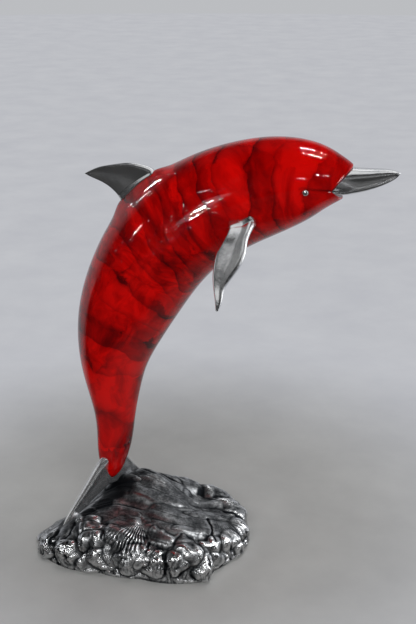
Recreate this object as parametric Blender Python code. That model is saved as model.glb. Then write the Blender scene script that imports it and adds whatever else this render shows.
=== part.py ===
"""A leaping dolphin ornament: an enamelled body with bare metal beak, fins, flukes and eyes, on a cast rock.

The dolphin heads along +X and its right side faces -Y. The origin is at the middle of the rock's underside.
"""
import math

import bmesh
import bpy
import numpy as np
from mathutils import Vector

# Driving sizes, in metres
DOLPHIN_LENGTH = 0.475
ROCK_LENGTH = 0.224
ROCK_DEPTH = 0.160
ROCK_HEIGHT = 0.066
FIN_THICKNESS = 0.011
FLIPPER_THICKNESS = 0.0085
FLUKE_THICKNESS = 0.009
BLADE_FULLNESS = 1.15
BLADE_TAPER = 0.45
EYE_RADIUS = 0.0032
SEAM_GAP = 0.0003

# Where the tail's foot stands, as shares of the rock's half length, half depth and height
FOOT_SHARE = (-0.337, 0.20, 1.0)

# How the flukes turn about the upright axis and tip towards the dolphin's back, in degrees
FLUKE_TWIST = 27.0
FLUKE_TIP_BACK = 8.0

# The body's middle line from tail to nose: x and z from the foot, half depth, and half width over half depth,
# where the first three are shares of the dolphin's length
BODY_STATIONS = [
    (-0.002, -0.0150, 0.0000, 0.90),
    (-0.001, -0.0070, 0.0090, 0.88),
    (0.000, 0.0095, 0.0210, 0.82),
    (0.003, 0.0427, 0.0322, 0.76),
    (0.009, 0.0900, 0.0392, 0.74),
    (0.0115, 0.1440, 0.0450, 0.78),
    (0.0108, 0.2080, 0.0580, 0.84),
    (0.0125, 0.2730, 0.0732, 0.88),
    (0.0325, 0.3650, 0.0945, 0.90),
    (0.0780, 0.4680, 0.1085, 0.90),
    (0.1370, 0.5550, 0.1130, 0.90),
    (0.2090, 0.6135, 0.1100, 0.90),
    (0.3040, 0.6580, 0.1020, 0.90),
    (0.3850, 0.6815, 0.0880, 0.90),
    (0.4400, 0.6900, 0.0680, 0.90),
    (0.4760, 0.6905, 0.0480, 0.91),
    (0.4960, 0.6900, 0.0350, 0.92),
    (0.5130, 0.6890, 0.0180, 0.92),
    (0.5190, 0.6885, 0.0000, 0.92),
]
BODY_STEPS = 40
BODY_SIDES = 32

# The swelling of the body that carries the dorsal fin, as shares of the dolphin's length
SADDLE_RISE = 0.0095
SADDLE_HALF_WIDTH = 0.024
SADDLE_START = (0.020, 0.610)
SADDLE_END = (0.118, 0.700)
SADDLE_FADE = 0.018

# The mouth: its corner, the lip of the brow and the tip of the lower jaw, from the foot in shares of the
# length
MOUTH_CORNER = (0.4667, 0.6739)
BROW_LIP = (0.5082, 0.7173)
JAW_TIP = (0.4891, 0.6501)
MOUTH_REACH = 4.0
MOUTH_HALF_WIDTH = 0.20

# The beak: x, upper line, lower line and half width, from the foot in shares of the length, and how much
# wider it is above than below
BEAK_STATIONS = [
    (0.4560, 0.7050, 0.6640, 0.0370, -0.20),
    (0.4700, 0.7100, 0.6660, 0.0375, -0.20),
    (0.4880, 0.7130, 0.6625, 0.0345, -0.10),
    (0.5020, 0.7125, 0.6625, 0.0300, 0.05),
    (0.5140, 0.7118, 0.6640, 0.0265, 0.20),
    (0.5360, 0.7112, 0.6695, 0.0215, 0.24),
    (0.5620, 0.7115, 0.6790, 0.0165, 0.22),
    (0.5820, 0.7100, 0.6895, 0.0112, 0.16),
    (0.5930, 0.7070, 0.6985, 0.0060, 0.10),
    (0.5975, 0.7045, 0.7045, 0.0000, 0.00),
]
BEAK_STEPS = 14
BEAK_SIDES = 16

# The dorsal fin: front edge x, z and back edge x, z from the foot in shares of the length, thickness share
FIN_STATIONS = [
    (0.118, 0.655, 0.048, 0.600, 1.10),
    (0.116, 0.676, 0.046, 0.614, 1.05),
    (0.108, 0.692, 0.037, 0.629, 1.00),
    (0.083, 0.7020, 0.026, 0.643, 0.86),
    (0.055, 0.7045, 0.012, 0.655, 0.68),
    (0.022, 0.7000, -0.006, 0.665, 0.46),
    (-0.010, 0.6925, -0.023, 0.672, 0.30),
    (-0.037, 0.6790, -0.037, 0.6790, 0.10),
]
FIN_STEPS = 16
FIN_SIDES = 16

# A flipper: its front edge and its back edge, each as x from the foot, distance out from the dolphin's middle
# plane and height above the foot, all in shares of the length, and thickness share
FLIPPER_STATIONS = [
    (0.3180, 0.048, 0.632, 0.2760, 0.060, 0.600, 1.25),
    (0.3260, 0.075, 0.622, 0.2760, 0.085, 0.600, 1.20),
    (0.3220, 0.098, 0.606, 0.2760, 0.106, 0.599, 1.10),
    (0.3160, 0.122, 0.586, 0.2680, 0.127, 0.581, 1.00),
    (0.3155, 0.141, 0.568, 0.2595, 0.143, 0.566, 0.95),
    (0.3090, 0.161, 0.550, 0.2575, 0.161, 0.550, 0.85),
    (0.2950, 0.182, 0.531, 0.2590, 0.182, 0.531, 0.70),
    (0.2840, 0.203, 0.512, 0.2645, 0.203, 0.512, 0.52),
    (0.2810, 0.221, 0.497, 0.2715, 0.221, 0.497, 0.36),
    (0.2780, 0.236, 0.484, 0.2780, 0.236, 0.484, 0.12),
]
FLIPPER_STEPS = 18
FLIPPER_SIDES = 16

# One lobe of the flukes: outward, front edge and back edge, in shares of the length, and thickness share
LOBE_STATIONS = [
    (0.000, -0.052, 0.030, 1.10),
    (0.025, -0.047, 0.036, 1.05),
    (0.052, -0.023, 0.046, 0.90),
    (0.084, 0.012, 0.059, 0.72),
    (0.114, 0.043, 0.068, 0.50),
    (0.131, 0.063, 0.073, 0.34),
    (0.139, 0.0735, 0.0735, 0.10),
]
LOBE_STEPS = 12
FLUKE_SIDES = 14
FLUKE_SET_BACK = 0.0050

# The eyes: their place beside the middle plane, x and z from the foot in shares of the length
EYE_PLACE = (0.4185, 0.6745)
EYE_OUT = -0.35
EYE_SEGMENTS = 16

# The rock's outline seen from above, as shares of its half length and half depth
ROCK_OUTLINE = [
    (0.98, 0.10), (0.92, 0.50), (0.76, 0.84), (0.44, 0.98), (0.05, 0.96), (-0.32, 0.86), (-0.64, 0.52),
    (-0.84, 0.12), (-0.97, -0.32), (-0.84, -0.68), (-0.60, -0.88), (-0.25, -0.93), (0.12, -0.97),
    (0.44, -1.00), (0.70, -0.88), (0.75, -0.62), (0.90, -0.28),
]
ROCK_SIDES = 92
ROCK_RINGS = 24
ROCK_SHOULDER = 0.55
ROCK_RISE = 0.62
ROCK_PLATEAU = 0.60

# Broad hills and hollows of the rock: x, y in half lengths and half depths, height in rock heights, and
# radius in half depths
ROCK_HILLS = [
    (-0.02, 0.54, 0.26, 0.26),
    (-0.337, 0.10, 0.08, 0.26),
    (-0.62, -0.30, 0.06, 0.20),
    (-0.16, 0.72, 0.06, 0.20),
    (-0.34, 0.50, 0.17, 0.22),
    (0.10, -0.25, 0.14, 0.36),
    (0.47, 0.45, -0.14, 0.14),
    (0.84, 0.20, -0.10, 0.40),
    (-0.85, 0.20, -0.34, 0.34),
    (-0.60, 0.62, -0.20, 0.26),
    (-0.98, -0.45, -0.22, 0.30),
]

# Lumps of the rock: x, y in half lengths and half depths, z in rock heights, radius and height in metres
ROCK_LUMPS = [
    (-0.84, -0.55, 0.26, 0.015, 0.005),
    (-0.78, -0.69, 0.17, 0.012, 0.006),
    (-0.56, -0.89, 0.26, 0.015, 0.008),
    (-0.32, -0.90, 0.20, 0.014, 0.007),
    (-0.36, -0.82, 0.47, 0.015, 0.007),
    (-0.43, -0.57, 0.61, 0.014, 0.005),
    (-0.07, -0.70, 0.62, 0.024, 0.005),
    (0.04, -0.96, 0.32, 0.017, 0.008),
    (0.30, -0.78, 0.58, 0.015, 0.006),
    (0.27, -0.99, 0.23, 0.013, 0.007),
    (0.44, -0.95, 0.32, 0.012, 0.006),
    (0.52, -0.82, 0.52, 0.019, 0.008),
    (0.69, -0.86, 0.24, 0.014, 0.007),
    (0.77, -0.53, 0.39, 0.014, 0.006),
    (0.79, -0.57, 0.18, 0.012, 0.006),
    (0.87, -0.28, 0.33, 0.014, 0.006),
    (0.91, -0.20, 0.15, 0.011, 0.005),
    (0.93, 0.10, 0.29, 0.016, 0.005),
    (0.80, 0.45, 0.39, 0.018, 0.005),
    (0.59, 0.78, 0.33, 0.020, 0.005),
    (0.27, 0.85, 0.36, 0.020, 0.005),
    (-0.07, 0.82, 0.39, 0.020, 0.005),
    (-0.39, 0.65, 0.27, 0.020, 0.005),
    (-0.66, 0.28, 0.18, 0.018, 0.004),
]


def share(length_share):
    """A share of the dolphin's length, in metres."""
    return length_share * DOLPHIN_LENGTH


FOOT = Vector(
    (FOOT_SHARE[0] * ROCK_LENGTH / 2, FOOT_SHARE[1] * ROCK_DEPTH / 2, FOOT_SHARE[2] * ROCK_HEIGHT)
)


def natural_spline(rows, count):
    """count rows on a smooth curve through the given rows, spaced evenly along it."""
    table = np.array(rows, float)
    gaps = np.linalg.norm(np.diff(table[:, :3], axis=0), axis=1)
    knots = np.concatenate([[0.0], np.cumsum(gaps)])
    n = len(knots)
    system = np.eye(n)
    right = np.zeros_like(table)
    for i in range(1, n - 1):
        before = gaps[i - 1]
        after = gaps[i]
        system[i, i - 1 : i + 2] = (before, 2 * (before + after), after)
        right[i] = 6 * ((table[i + 1] - table[i]) / after - (table[i] - table[i - 1]) / before)
    bend = np.linalg.solve(system, right)
    where = np.linspace(0.0, knots[-1], count)
    left = np.clip(np.searchsorted(knots, where, side="right") - 1, 0, n - 2)
    span = gaps[left][:, None]
    a = (knots[left + 1] - where)[:, None]
    b = (where - knots[left])[:, None]
    curve = (bend[left] * a**3 + bend[left + 1] * b**3) / (6 * span)
    curve += (table[left] / span - bend[left] * span / 6) * a
    curve += (table[left + 1] / span - bend[left + 1] * span / 6) * b
    return curve


def material(name, color, roughness, metallic, coat=0.0):
    """A plain surface finish."""
    finish = bpy.data.materials.new(name)
    finish.use_nodes = True
    shader = finish.node_tree.nodes["Principled BSDF"]
    shader.inputs["Base Color"].default_value = (*color, 1.0)
    shader.inputs["Roughness"].default_value = roughness
    shader.inputs["Metallic"].default_value = metallic
    shader.inputs["Coat Weight"].default_value = coat
    return finish


def add_object(name, bm, finish):
    """Puts a finished bmesh in the scene as a smooth object."""
    bmesh.ops.recalc_face_normals(bm, faces=bm.faces)
    mesh = bpy.data.meshes.new(name)
    bm.to_mesh(mesh)
    bm.free()
    mesh.materials.append(finish)
    mesh.shade_smooth()
    piece = bpy.data.objects.new(name, mesh)
    bpy.context.collection.objects.link(piece)
    return piece


def wrapped(rings, sides, place):
    """A closed skin: a grid whose rows become rings and whose first and last rows close to a point."""
    bm = bmesh.new()
    bmesh.ops.create_grid(bm, x_segments=rings, y_segments=sides, size=0.5)
    for vert in bm.verts:
        row = round((vert.co.x + 0.5) * rings)
        turn = round((vert.co.y + 0.5) * sides) % sides
        vert.co = place(row, 2 * math.pi * turn / sides)
    bmesh.ops.remove_doubles(bm, verts=bm.verts, dist=1e-6)
    return bm


def body_frames(steps):
    """Centre, dorsal direction, half depth and half width of each ring of the body."""
    rows = natural_spline(BODY_STATIONS, steps + 1)
    centres = [FOOT + Vector((share(x), 0.0, share(z))) for x, z, _, _ in rows]
    frames = []
    for i, centre in enumerate(centres):
        along = centres[min(i + 1, steps)] - centres[max(i - 1, 0)]
        dorsal = Vector((-along.z, 0.0, along.x)).normalized()
        depth = max(0.0, share(rows[i][2]))
        frames.append((centre, dorsal, depth, depth * rows[i][3]))
    return frames


def saddle(point):
    """How far the body rises under the dorsal fin at this point."""
    start = FOOT + Vector((share(SADDLE_START[0]), 0.0, share(SADDLE_START[1])))
    end = FOOT + Vector((share(SADDLE_END[0]), 0.0, share(SADDLE_END[1])))
    line = (end - start).normalized()
    along = (point - start).dot(line)
    past = max(0.0, -along, along - (end - start).length)
    aside = (point.y - FOOT.y) / share(SADDLE_HALF_WIDTH)
    return share(SADDLE_RISE) * math.exp(-(aside**2) - (past / share(SADDLE_FADE)) ** 2)


def body_bmesh(swell):
    """The body from tail tip to brow, everywhere larger by swell."""
    frames = body_frames(BODY_STEPS)
    heading = (frames[-1][0] - frames[-2][0]).normalized()
    tailwards = (frames[0][0] - frames[1][0]).normalized()

    def place(row, angle):
        centre, dorsal, depth, width = frames[row]
        if row == 0:
            return centre + tailwards * swell
        if row == BODY_STEPS:
            return centre + heading * swell
        up = math.cos(angle)
        point = centre + dorsal * (depth + swell) * up
        point += Vector((0.0, (width + swell) * math.sin(angle), 0.0))
        if up > 0:
            point += dorsal * saddle(point)
        return point

    return wrapped(BODY_STEPS, BODY_SIDES, place)


def blade_bmesh(stations, steps, sides):
    """A closed blade: stations give front edge, back edge and thickness in world metres."""
    rows = natural_spline([(*front, *back, thick) for front, back, thick in stations], steps + 1)
    fronts = [Vector(row[0:3]) for row in rows]
    backs = [Vector(row[3:6]) for row in rows]
    middles = [(f + b) / 2 for f, b in zip(fronts, backs)]

    def place(row, angle):
        if row in (0, steps):
            return middles[row]
        spanwise = middles[row + 1] - middles[row - 1]
        chord = backs[row] - fronts[row]
        flat = spanwise.cross(chord).normalized()
        share_back = (1 - math.cos(angle)) / 2
        fullness = BLADE_FULLNESS - BLADE_TAPER * share_back
        thickness = rows[row][6] * math.sin(angle) * fullness / 2
        return fronts[row] + chord * share_back + flat * thickness

    return wrapped(steps, sides, place)


def prism(name, outline, half_width):
    """A cutter: an outline in the dolphin's middle plane, drawn out to both sides."""
    bm = bmesh.new()
    verts = [bm.verts.new((x, FOOT.y - half_width, z)) for x, z in outline]
    face = bm.faces.new(verts)
    drawn = bmesh.ops.extrude_face_region(bm, geom=[face])
    moved = [item for item in drawn["geom"] if isinstance(item, bmesh.types.BMVert)]
    bmesh.ops.translate(bm, verts=moved, vec=(0.0, 2 * half_width, 0.0))
    return cutter(add_object(name, bm, steel))


def cutter(piece):
    """Marks an object as a tool that cuts others and isn't part of the ornament."""
    piece.hide_render = True
    piece.display_type = "WIRE"
    return piece


def cut(piece, tool):
    """Takes the tool's shape out of the piece."""
    boolean = piece.modifiers.new("cut by " + tool.name, "BOOLEAN")
    boolean.operation = "DIFFERENCE"
    boolean.solver = "EXACT"
    boolean.object = tool


def foot_point(x, z, y=0.0):
    """A point from the foot, given in shares of the dolphin's length."""
    return FOOT + Vector((share(x), share(y), share(z)))


def make_body():
    """The enamelled body, with the mouth cut into its front."""
    return add_object("dolphin_body", body_bmesh(0.0), enamel)


def mouth_outline():
    """The wedge between brow and lower jaw, in the dolphin's middle plane."""
    corner = foot_point(*MOUTH_CORNER)
    upward = (foot_point(*BROW_LIP) - corner) * MOUTH_REACH
    onward = (foot_point(*JAW_TIP) - corner) * MOUTH_REACH
    return [(p.x, p.z) for p in (corner, corner + onward, corner + onward + upward, corner + upward)]


def trim(bm, seat, away):
    """Cuts a closed bmesh flat, a seam's gap in front of the plane through seat, and keeps what is away."""
    outward = away.normalized()
    every = list(bm.verts) + list(bm.edges) + list(bm.faces)
    clear = seat + outward * SEAM_GAP
    bmesh.ops.bisect_plane(bm, geom=every, plane_co=clear, plane_no=outward, clear_inner=True)
    rim = [edge for edge in bm.edges if edge.is_boundary]
    bmesh.ops.edgeloop_fill(bm, edges=rim)


def make_beak():
    """The upper beak: as wide as the head where it meets brow and jaw, then wide on top and narrow below."""
    rows = natural_spline(BEAK_STATIONS, BEAK_STEPS + 1)

    def place(row, angle):
        x, top, low, width, widening = rows[row]
        middle = foot_point(x, (top + low) / 2)
        if row in (0, BEAK_STEPS):
            return middle
        up = math.cos(angle)
        out = share(width) * math.sin(angle) * (1 + widening * up)
        return middle + Vector((0.0, out, share((top - low) / 2) * up))

    bm = wrapped(BEAK_STEPS, BEAK_SIDES, place)
    corner = foot_point(*MOUTH_CORNER)
    brow = foot_point(*BROW_LIP) - corner
    jaw = foot_point(*JAW_TIP) - corner
    trim(bm, corner, Vector((brow.z, 0.0, -brow.x)))
    trim(bm, corner, Vector((-jaw.z, 0.0, jaw.x)))
    return add_object("beak", bm, aluminium)


def make_dorsal_fin():
    """The swept fin on the back."""
    stations = [
        (foot_point(fx, fz), foot_point(bx, bz), FIN_THICKNESS * thick)
        for fx, fz, bx, bz, thick in FIN_STATIONS
    ]
    return add_object("dorsal_fin", blade_bmesh(stations, FIN_STEPS, FIN_SIDES), aluminium)


def make_flipper(name, side):
    """One flipper, on the side -1 for right and 1 for left."""
    stations = [
        (foot_point(front_x, front_up, side * front_out), foot_point(back_x, back_up, side * back_out),
         FLIPPER_THICKNESS * thick)
        for front_x, front_out, front_up, back_x, back_out, back_up, thick in FLIPPER_STATIONS
    ]
    return add_object(name, blade_bmesh(stations, FLIPPER_STEPS, FLIPPER_SIDES), aluminium)


def fluke_bmesh(swell):
    """Both lobes of the flukes as one blade, tip to tip, everywhere larger by swell."""
    twist = math.radians(FLUKE_TWIST)
    tip_back = math.radians(FLUKE_TIP_BACK)
    outward = Vector((math.sin(twist), math.cos(twist), 0.0))
    aft = Vector((-math.sin(tip_back), 0.0, -math.cos(tip_back)))
    middle = FOOT + Vector((-share(FLUKE_SET_BACK), 0.0, 0.0))
    stations = []
    right = [(-out, front, back, thick) for out, front, back, thick in reversed(LOBE_STATIONS[1:])]
    for out, front, back, thick in right + LOBE_STATIONS:
        line = middle + outward * (share(out) + math.copysign(swell, out) * (front == back))
        stations.append(
            (line + aft * (share(front) - swell), line + aft * (share(back) + swell),
             FLUKE_THICKNESS * thick + 2 * swell)
        )
    return blade_bmesh(stations, 2 * LOBE_STEPS, FLUKE_SIDES)


def make_eye(name, side):
    """A bead set in the head, on the side -1 for right and 1 for left."""
    centre = foot_point(*EYE_PLACE)
    near = min(body_frames(BODY_STEPS), key=lambda frame: abs(frame[0].x - centre.x))
    rise = (centre - near[0]).dot(near[1]) / near[2]
    out = near[3] * math.sqrt(1 - rise**2) + EYE_OUT * EYE_RADIUS
    bm = bmesh.new()
    bmesh.ops.create_uvsphere(bm, u_segments=EYE_SEGMENTS, v_segments=EYE_SEGMENTS // 2, radius=EYE_RADIUS)
    bmesh.ops.translate(bm, verts=bm.verts, vec=centre + Vector((0.0, side * out, 0.0)))
    return add_object(name, bm, aluminium)


def rock_radius(angle):
    """Distance from the rock's middle to its outline in this direction."""
    corners = [(x * ROCK_LENGTH / 2, y * ROCK_DEPTH / 2) for x, y in ROCK_OUTLINE]
    angles = np.array([math.atan2(y, x) for x, y in corners])
    reach = np.array([math.hypot(x, y) for x, y in corners])
    order = np.argsort(angles)
    return float(np.interp(angle, angles[order], reach[order], period=2 * math.pi))


def rock_top(x, y):
    """Height of the rock's broad form at this place."""
    height = ROCK_PLATEAU
    for hill_x, hill_y, rise, radius in ROCK_HILLS:
        dx = (x - hill_x * ROCK_LENGTH / 2) / (radius * ROCK_DEPTH / 2)
        dy = (y - hill_y * ROCK_DEPTH / 2) / (radius * ROCK_DEPTH / 2)
        height += rise * math.exp(-(dx**2 + dy**2) / 2)
    return height * ROCK_HEIGHT


def lump_rise(point):
    """How far the nearest lumps swell the rock's skin at this point."""
    rise = 0.0
    for x, y, z, radius, height in ROCK_LUMPS:
        centre = Vector((x * ROCK_LENGTH / 2, y * ROCK_DEPTH / 2, z * ROCK_HEIGHT))
        nearness = 1 - ((point - centre).length / radius) ** 2
        if nearness > 0:
            rise = max(rise, height * math.sqrt(nearness))
    return rise


def make_rock():
    """The cast rock: a flat underside, a steep lumpy side and a folded top."""
    rings = ROCK_RINGS

    def place(row, angle):
        if row == 0:
            return Vector((0.0, 0.0, 0.0))
        climb = (row - 1) / (rings - 1) * math.pi / 2
        reach = rock_radius(angle) * math.cos(climb) ** ROCK_SHOULDER
        if row == rings:
            reach = 0.0
        x = reach * math.cos(angle)
        y = reach * math.sin(angle)
        point = Vector((x, y, rock_top(x, y) * math.sin(climb) ** ROCK_RISE))
        if row == 1:
            return point
        level = math.cos(climb)
        outward = Vector((math.cos(angle) * level, math.sin(angle) * level, math.sin(climb)))
        return point + outward * lump_rise(point)

    return add_object("rock_base", wrapped(rings, ROCK_SIDES, place), patina)


for leftover in list(bpy.data.objects):
    bpy.data.objects.remove(leftover)

enamel = material("red_enamel", (0.62, 0.012, 0.015), 0.08, 0.0, coat=1.0)
aluminium = material("polished_aluminium", (0.80, 0.81, 0.82), 0.16, 1.0)
patina = material("blackened_aluminium", (0.38, 0.38, 0.39), 0.30, 1.0)
steel = material("cutting_tool", (0.5, 0.5, 0.5), 0.5, 0.0)

body = make_body()
beak = make_beak()
fin = make_dorsal_fin()
flippers = [make_flipper("right_flipper", -1), make_flipper("left_flipper", 1)]
flukes = add_object("tail_flukes", fluke_bmesh(0.0), aluminium)
eyes = [make_eye("right_eye", -1), make_eye("left_eye", 1)]
rock = make_rock()

body_tool = cutter(add_object("body_tool", body_bmesh(SEAM_GAP), steel))
fluke_tool = cutter(add_object("fluke_tool", fluke_bmesh(SEAM_GAP), steel))
mouth_tool = prism("mouth_tool", mouth_outline(), share(MOUTH_HALF_WIDTH))
cut(body, mouth_tool)
for metal in [fin, flukes] + flippers + eyes:
    cut(metal, body_tool)
cut(rock, body_tool)
cut(rock, fluke_tool)
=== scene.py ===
# %% [markdown]
# # A leaping dolphin in marbled red enamel, on a cast rock
#
# The ornament is cast in aluminium. Its body is coated with a thick red enamel whose dark veins look like
# smoke, and the beak, the fins, the flukes and the eyes are left as polished metal. The rock it springs from
# is cast roughly, blackened, and rubbed bright again on its high places.
#
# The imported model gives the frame: where each piece is and how large it may be. Everything below is the fine
# surface of those pieces. As in the solids, places on the dolphin are measured from the foot of the tail, and
# places on the rock from the middle of its underside.

# %% The frame
import math

import bmesh
import bpy
import numpy as np
from mathutils import Matrix, Vector
from mathutils.bvhtree import BVHTree


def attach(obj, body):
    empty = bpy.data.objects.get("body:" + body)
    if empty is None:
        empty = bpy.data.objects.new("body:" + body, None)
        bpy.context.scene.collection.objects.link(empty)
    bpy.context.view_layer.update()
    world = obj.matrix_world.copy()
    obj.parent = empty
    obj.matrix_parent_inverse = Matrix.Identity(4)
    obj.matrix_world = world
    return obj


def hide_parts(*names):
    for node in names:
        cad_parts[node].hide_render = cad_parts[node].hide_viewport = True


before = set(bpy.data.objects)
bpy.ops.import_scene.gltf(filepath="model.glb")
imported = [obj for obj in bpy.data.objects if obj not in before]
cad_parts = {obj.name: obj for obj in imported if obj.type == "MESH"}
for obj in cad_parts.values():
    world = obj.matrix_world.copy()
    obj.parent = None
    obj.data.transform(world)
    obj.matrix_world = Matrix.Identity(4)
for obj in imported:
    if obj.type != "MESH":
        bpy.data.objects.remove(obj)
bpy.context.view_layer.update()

print("nodes:", sorted(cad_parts))

# %% [markdown]
# ## The measures that the pieces share
#
# A dolphin of this kind is designed by its length along the middle line, and the rock by its own length,
# depth and height. The foot of the tail stands a little left of and behind the middle of the rock.

# %% Driving sizes and the foot of the tail
DOLPHIN_LENGTH = 0.475
ROCK_LENGTH = 0.224
ROCK_DEPTH = 0.160
ROCK_HEIGHT = 0.066
FOOT_SHARE = (-0.337, 0.20, 1.0)
MILLIMETRE = 0.001
ROCK_HALF = np.array((ROCK_LENGTH / 2, ROCK_DEPTH / 2, ROCK_HEIGHT))
FOOT = np.array(FOOT_SHARE) * ROCK_HALF


def from_foot(x, z, y=0.0):
    """A point given from the foot of the tail, in shares of the dolphin's length."""
    x, y, z = np.broadcast_arrays(x, y, z)
    return FOOT + DOLPHIN_LENGTH * np.stack([x, y, z], axis=-1)


print("foot of the tail at", FOOT.round(4))

# %% [markdown]
# ## Smooth lines through a few stations
#
# A carver works from a few templates and fairs the wood between them. The stations here are those templates,
# and a natural cubic spline does the fairing. Written as a function of the share of the way along, it can be
# read at any place, so the fine surface can have as many rows as it needs.

# %% A faired line


def faired(stations):
    """Reads a smooth curve through the stations at any share of its length; further columns ride along."""
    table = np.array(stations, float)
    gaps = np.linalg.norm(np.diff(table[:, :3], axis=0), axis=1)
    knots = np.concatenate([[0.0], np.cumsum(gaps)])
    last = len(knots) - 1
    system = np.eye(last + 1)
    pull = np.zeros_like(table)
    for i in range(1, last):
        before, after = gaps[i - 1], gaps[i]
        system[i, i - 1:i + 2] = (before, 2 * (before + after), after)
        pull[i] = 6 * ((table[i + 1] - table[i]) / after - (table[i] - table[i - 1]) / before)
    bend = np.linalg.solve(system, pull)

    def at(share):
        where = np.clip(np.asarray(share, float), 0.0, 1.0) * knots[-1]
        left = np.clip(np.searchsorted(knots, where, side="right") - 1, 0, last - 1)
        span = gaps[left][..., None]
        a = (knots[left + 1] - where)[..., None]
        b = (where - knots[left])[..., None]
        line = (bend[left] * a**3 + bend[left + 1] * b**3) / (6 * span)
        line += (table[left] / span - bend[left] * span / 6) * a
        return line + (table[left + 1] / span - bend[left + 1] * span / 6) * b

    return at


# %% [markdown]
# ## One way to skin every cast piece
#
# All the pieces are closed skins without holes: body, beak, fins, flukes and rock. Each one starts as a flat
# grid from bmesh. Its rows become rings round the piece, its first and last rows close to a point, and a
# function says where each vertex goes. Merging the doubles closes the seam. The function gets whole arrays of
# row and turn numbers, because numpy places a hundred thousand vertices in a moment.

# %% A finished bmesh made a piece of the scene


def into_scene(name, bm, smooth=True):
    """Gives the bmesh an object at the origin, and counts what it has."""
    mesh = bpy.data.meshes.new(name)
    bm.to_mesh(mesh)
    bm.free()
    if smooth:
        mesh.shade_smooth()
    piece = bpy.data.objects.new(name, mesh)
    bpy.context.scene.collection.objects.link(piece)
    triangles = sum(len(face.vertices) - 2 for face in mesh.polygons)
    print(f"{name}: {len(mesh.vertices)} vertices, {triangles} triangles")
    return piece


# %% A grid wrapped into a closed skin


def skin(name, rows, sides, place):
    """A closed piece. place takes row and turn numbers and gives positions and vertex attributes by name."""
    bm = bmesh.new()
    bmesh.ops.create_grid(bm, x_segments=rows, y_segments=sides, size=0.5)
    flat = bpy.data.meshes.new(name + "_flat")
    bm.to_mesh(flat)
    bm.free()
    corners = np.empty(len(flat.vertices) * 3, np.float32)
    flat.vertices.foreach_get("co", corners)
    corners = corners.reshape(-1, 3)
    row = np.rint((corners[:, 0] + 0.5) * rows).astype(int)
    turn = np.rint((corners[:, 1] + 0.5) * sides).astype(int) % sides
    points, traits = place(row, turn)
    flat.vertices.foreach_set("co", points.astype(np.float32).ravel())
    for trait, values in traits.items():
        kind, field = ("FLOAT_VECTOR", "vector") if values.ndim == 2 else ("FLOAT", "value")
        made = flat.attributes.new(trait, kind, "POINT")
        made.data.foreach_set(field, values.astype(np.float32).ravel())
    bm = bmesh.new()
    bm.from_mesh(flat)
    bpy.data.meshes.remove(flat)
    bmesh.ops.remove_doubles(bm, verts=bm.verts, dist=1e-6)
    bmesh.ops.recalc_face_normals(bm, faces=bm.faces)
    return into_scene(name, bm)


# %% [markdown]
# ## The body's form
#
# The body is a row of ellipses along a bent middle line, narrower than they are deep. Its back swells a
# little under the dorsal fin, in a saddle that fades out at both ends. The stations are the same templates
# that the solids were lofted from, and only the saddle is a little shorter here, with softer ends.

# %% Stations of the body: x and z from the foot, half depth, and width over depth
BODY_STATIONS = [
    (-0.002, -0.0150, 0.0000, 0.90), (-0.001, -0.0070, 0.0090, 0.88), (0.000, 0.0095, 0.0210, 0.82),
    (0.003, 0.0427, 0.0322, 0.76), (0.009, 0.0900, 0.0392, 0.74), (0.0115, 0.1440, 0.0450, 0.78),
    (0.0108, 0.2080, 0.0580, 0.84), (0.0125, 0.2730, 0.0732, 0.88), (0.0325, 0.3650, 0.0945, 0.90),
    (0.0780, 0.4680, 0.1085, 0.90), (0.1370, 0.5550, 0.1130, 0.90), (0.2090, 0.6135, 0.1100, 0.90),
    (0.3040, 0.6580, 0.1020, 0.90), (0.3850, 0.6815, 0.0880, 0.90), (0.4400, 0.6900, 0.0680, 0.90),
    (0.4760, 0.6905, 0.0480, 0.91), (0.4960, 0.6900, 0.0350, 0.92), (0.5130, 0.6890, 0.0180, 0.92),
    (0.5190, 0.6885, 0.0000, 0.92),
]
SADDLE_RISE = 0.0095
SADDLE_HALF_WIDTH = 0.024
SADDLE_START = from_foot(0.036, 0.627)
SADDLE_END = from_foot(0.104, 0.689)
SADDLE_FADE = 0.027
SADDLE_RUN = SADDLE_END - SADDLE_START
SADDLE_LENGTH = np.linalg.norm(SADDLE_RUN)
body_line = faired(BODY_STATIONS)
body_path = body_line(np.linspace(0.0, 1.0, 400))[:, :2] * DOLPHIN_LENGTH
BODY_ARC = float(np.cumsum(np.hypot(*np.diff(body_path, axis=0).T))[-1])
print(f"the body is {BODY_ARC * 1000:.0f} mm long along its middle line")

# %% A point of the body's skin


def body_skin(share, angle):
    """The skin at a share of the way along and an angle round from the back, and the half depth there."""
    step = 1e-4
    row = body_line(share)
    ahead = body_line(np.minimum(share + step, 1.0)) - body_line(np.maximum(share - step, 0.0))
    run = np.hypot(ahead[..., 0], ahead[..., 1])
    dorsal_x, dorsal_z = -ahead[..., 1] / run, ahead[..., 0] / run
    depth = np.maximum(row[..., 2], 0.0)
    up = depth * np.cos(angle)
    out = depth * row[..., 3] * np.sin(angle)
    point = from_foot(row[..., 0] + dorsal_x * up, row[..., 1] + dorsal_z * up, out)
    along = (point - SADDLE_START) @ (SADDLE_RUN / SADDLE_LENGTH)
    past = np.maximum(0.0, np.maximum(-along, along - SADDLE_LENGTH))
    aside = (point[..., 1] - FOOT[1]) / (SADDLE_HALF_WIDTH * DOLPHIN_LENGTH)
    rise = SADDLE_RISE * np.exp(-aside**2 - (past / (SADDLE_FADE * DOLPHIN_LENGTH))**2)
    rise *= (np.cos(angle) > 0) * DOLPHIN_LENGTH
    point[..., 0] += dorsal_x * rise
    point[..., 2] += dorsal_z * rise
    return point, depth * DOLPHIN_LENGTH


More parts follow.
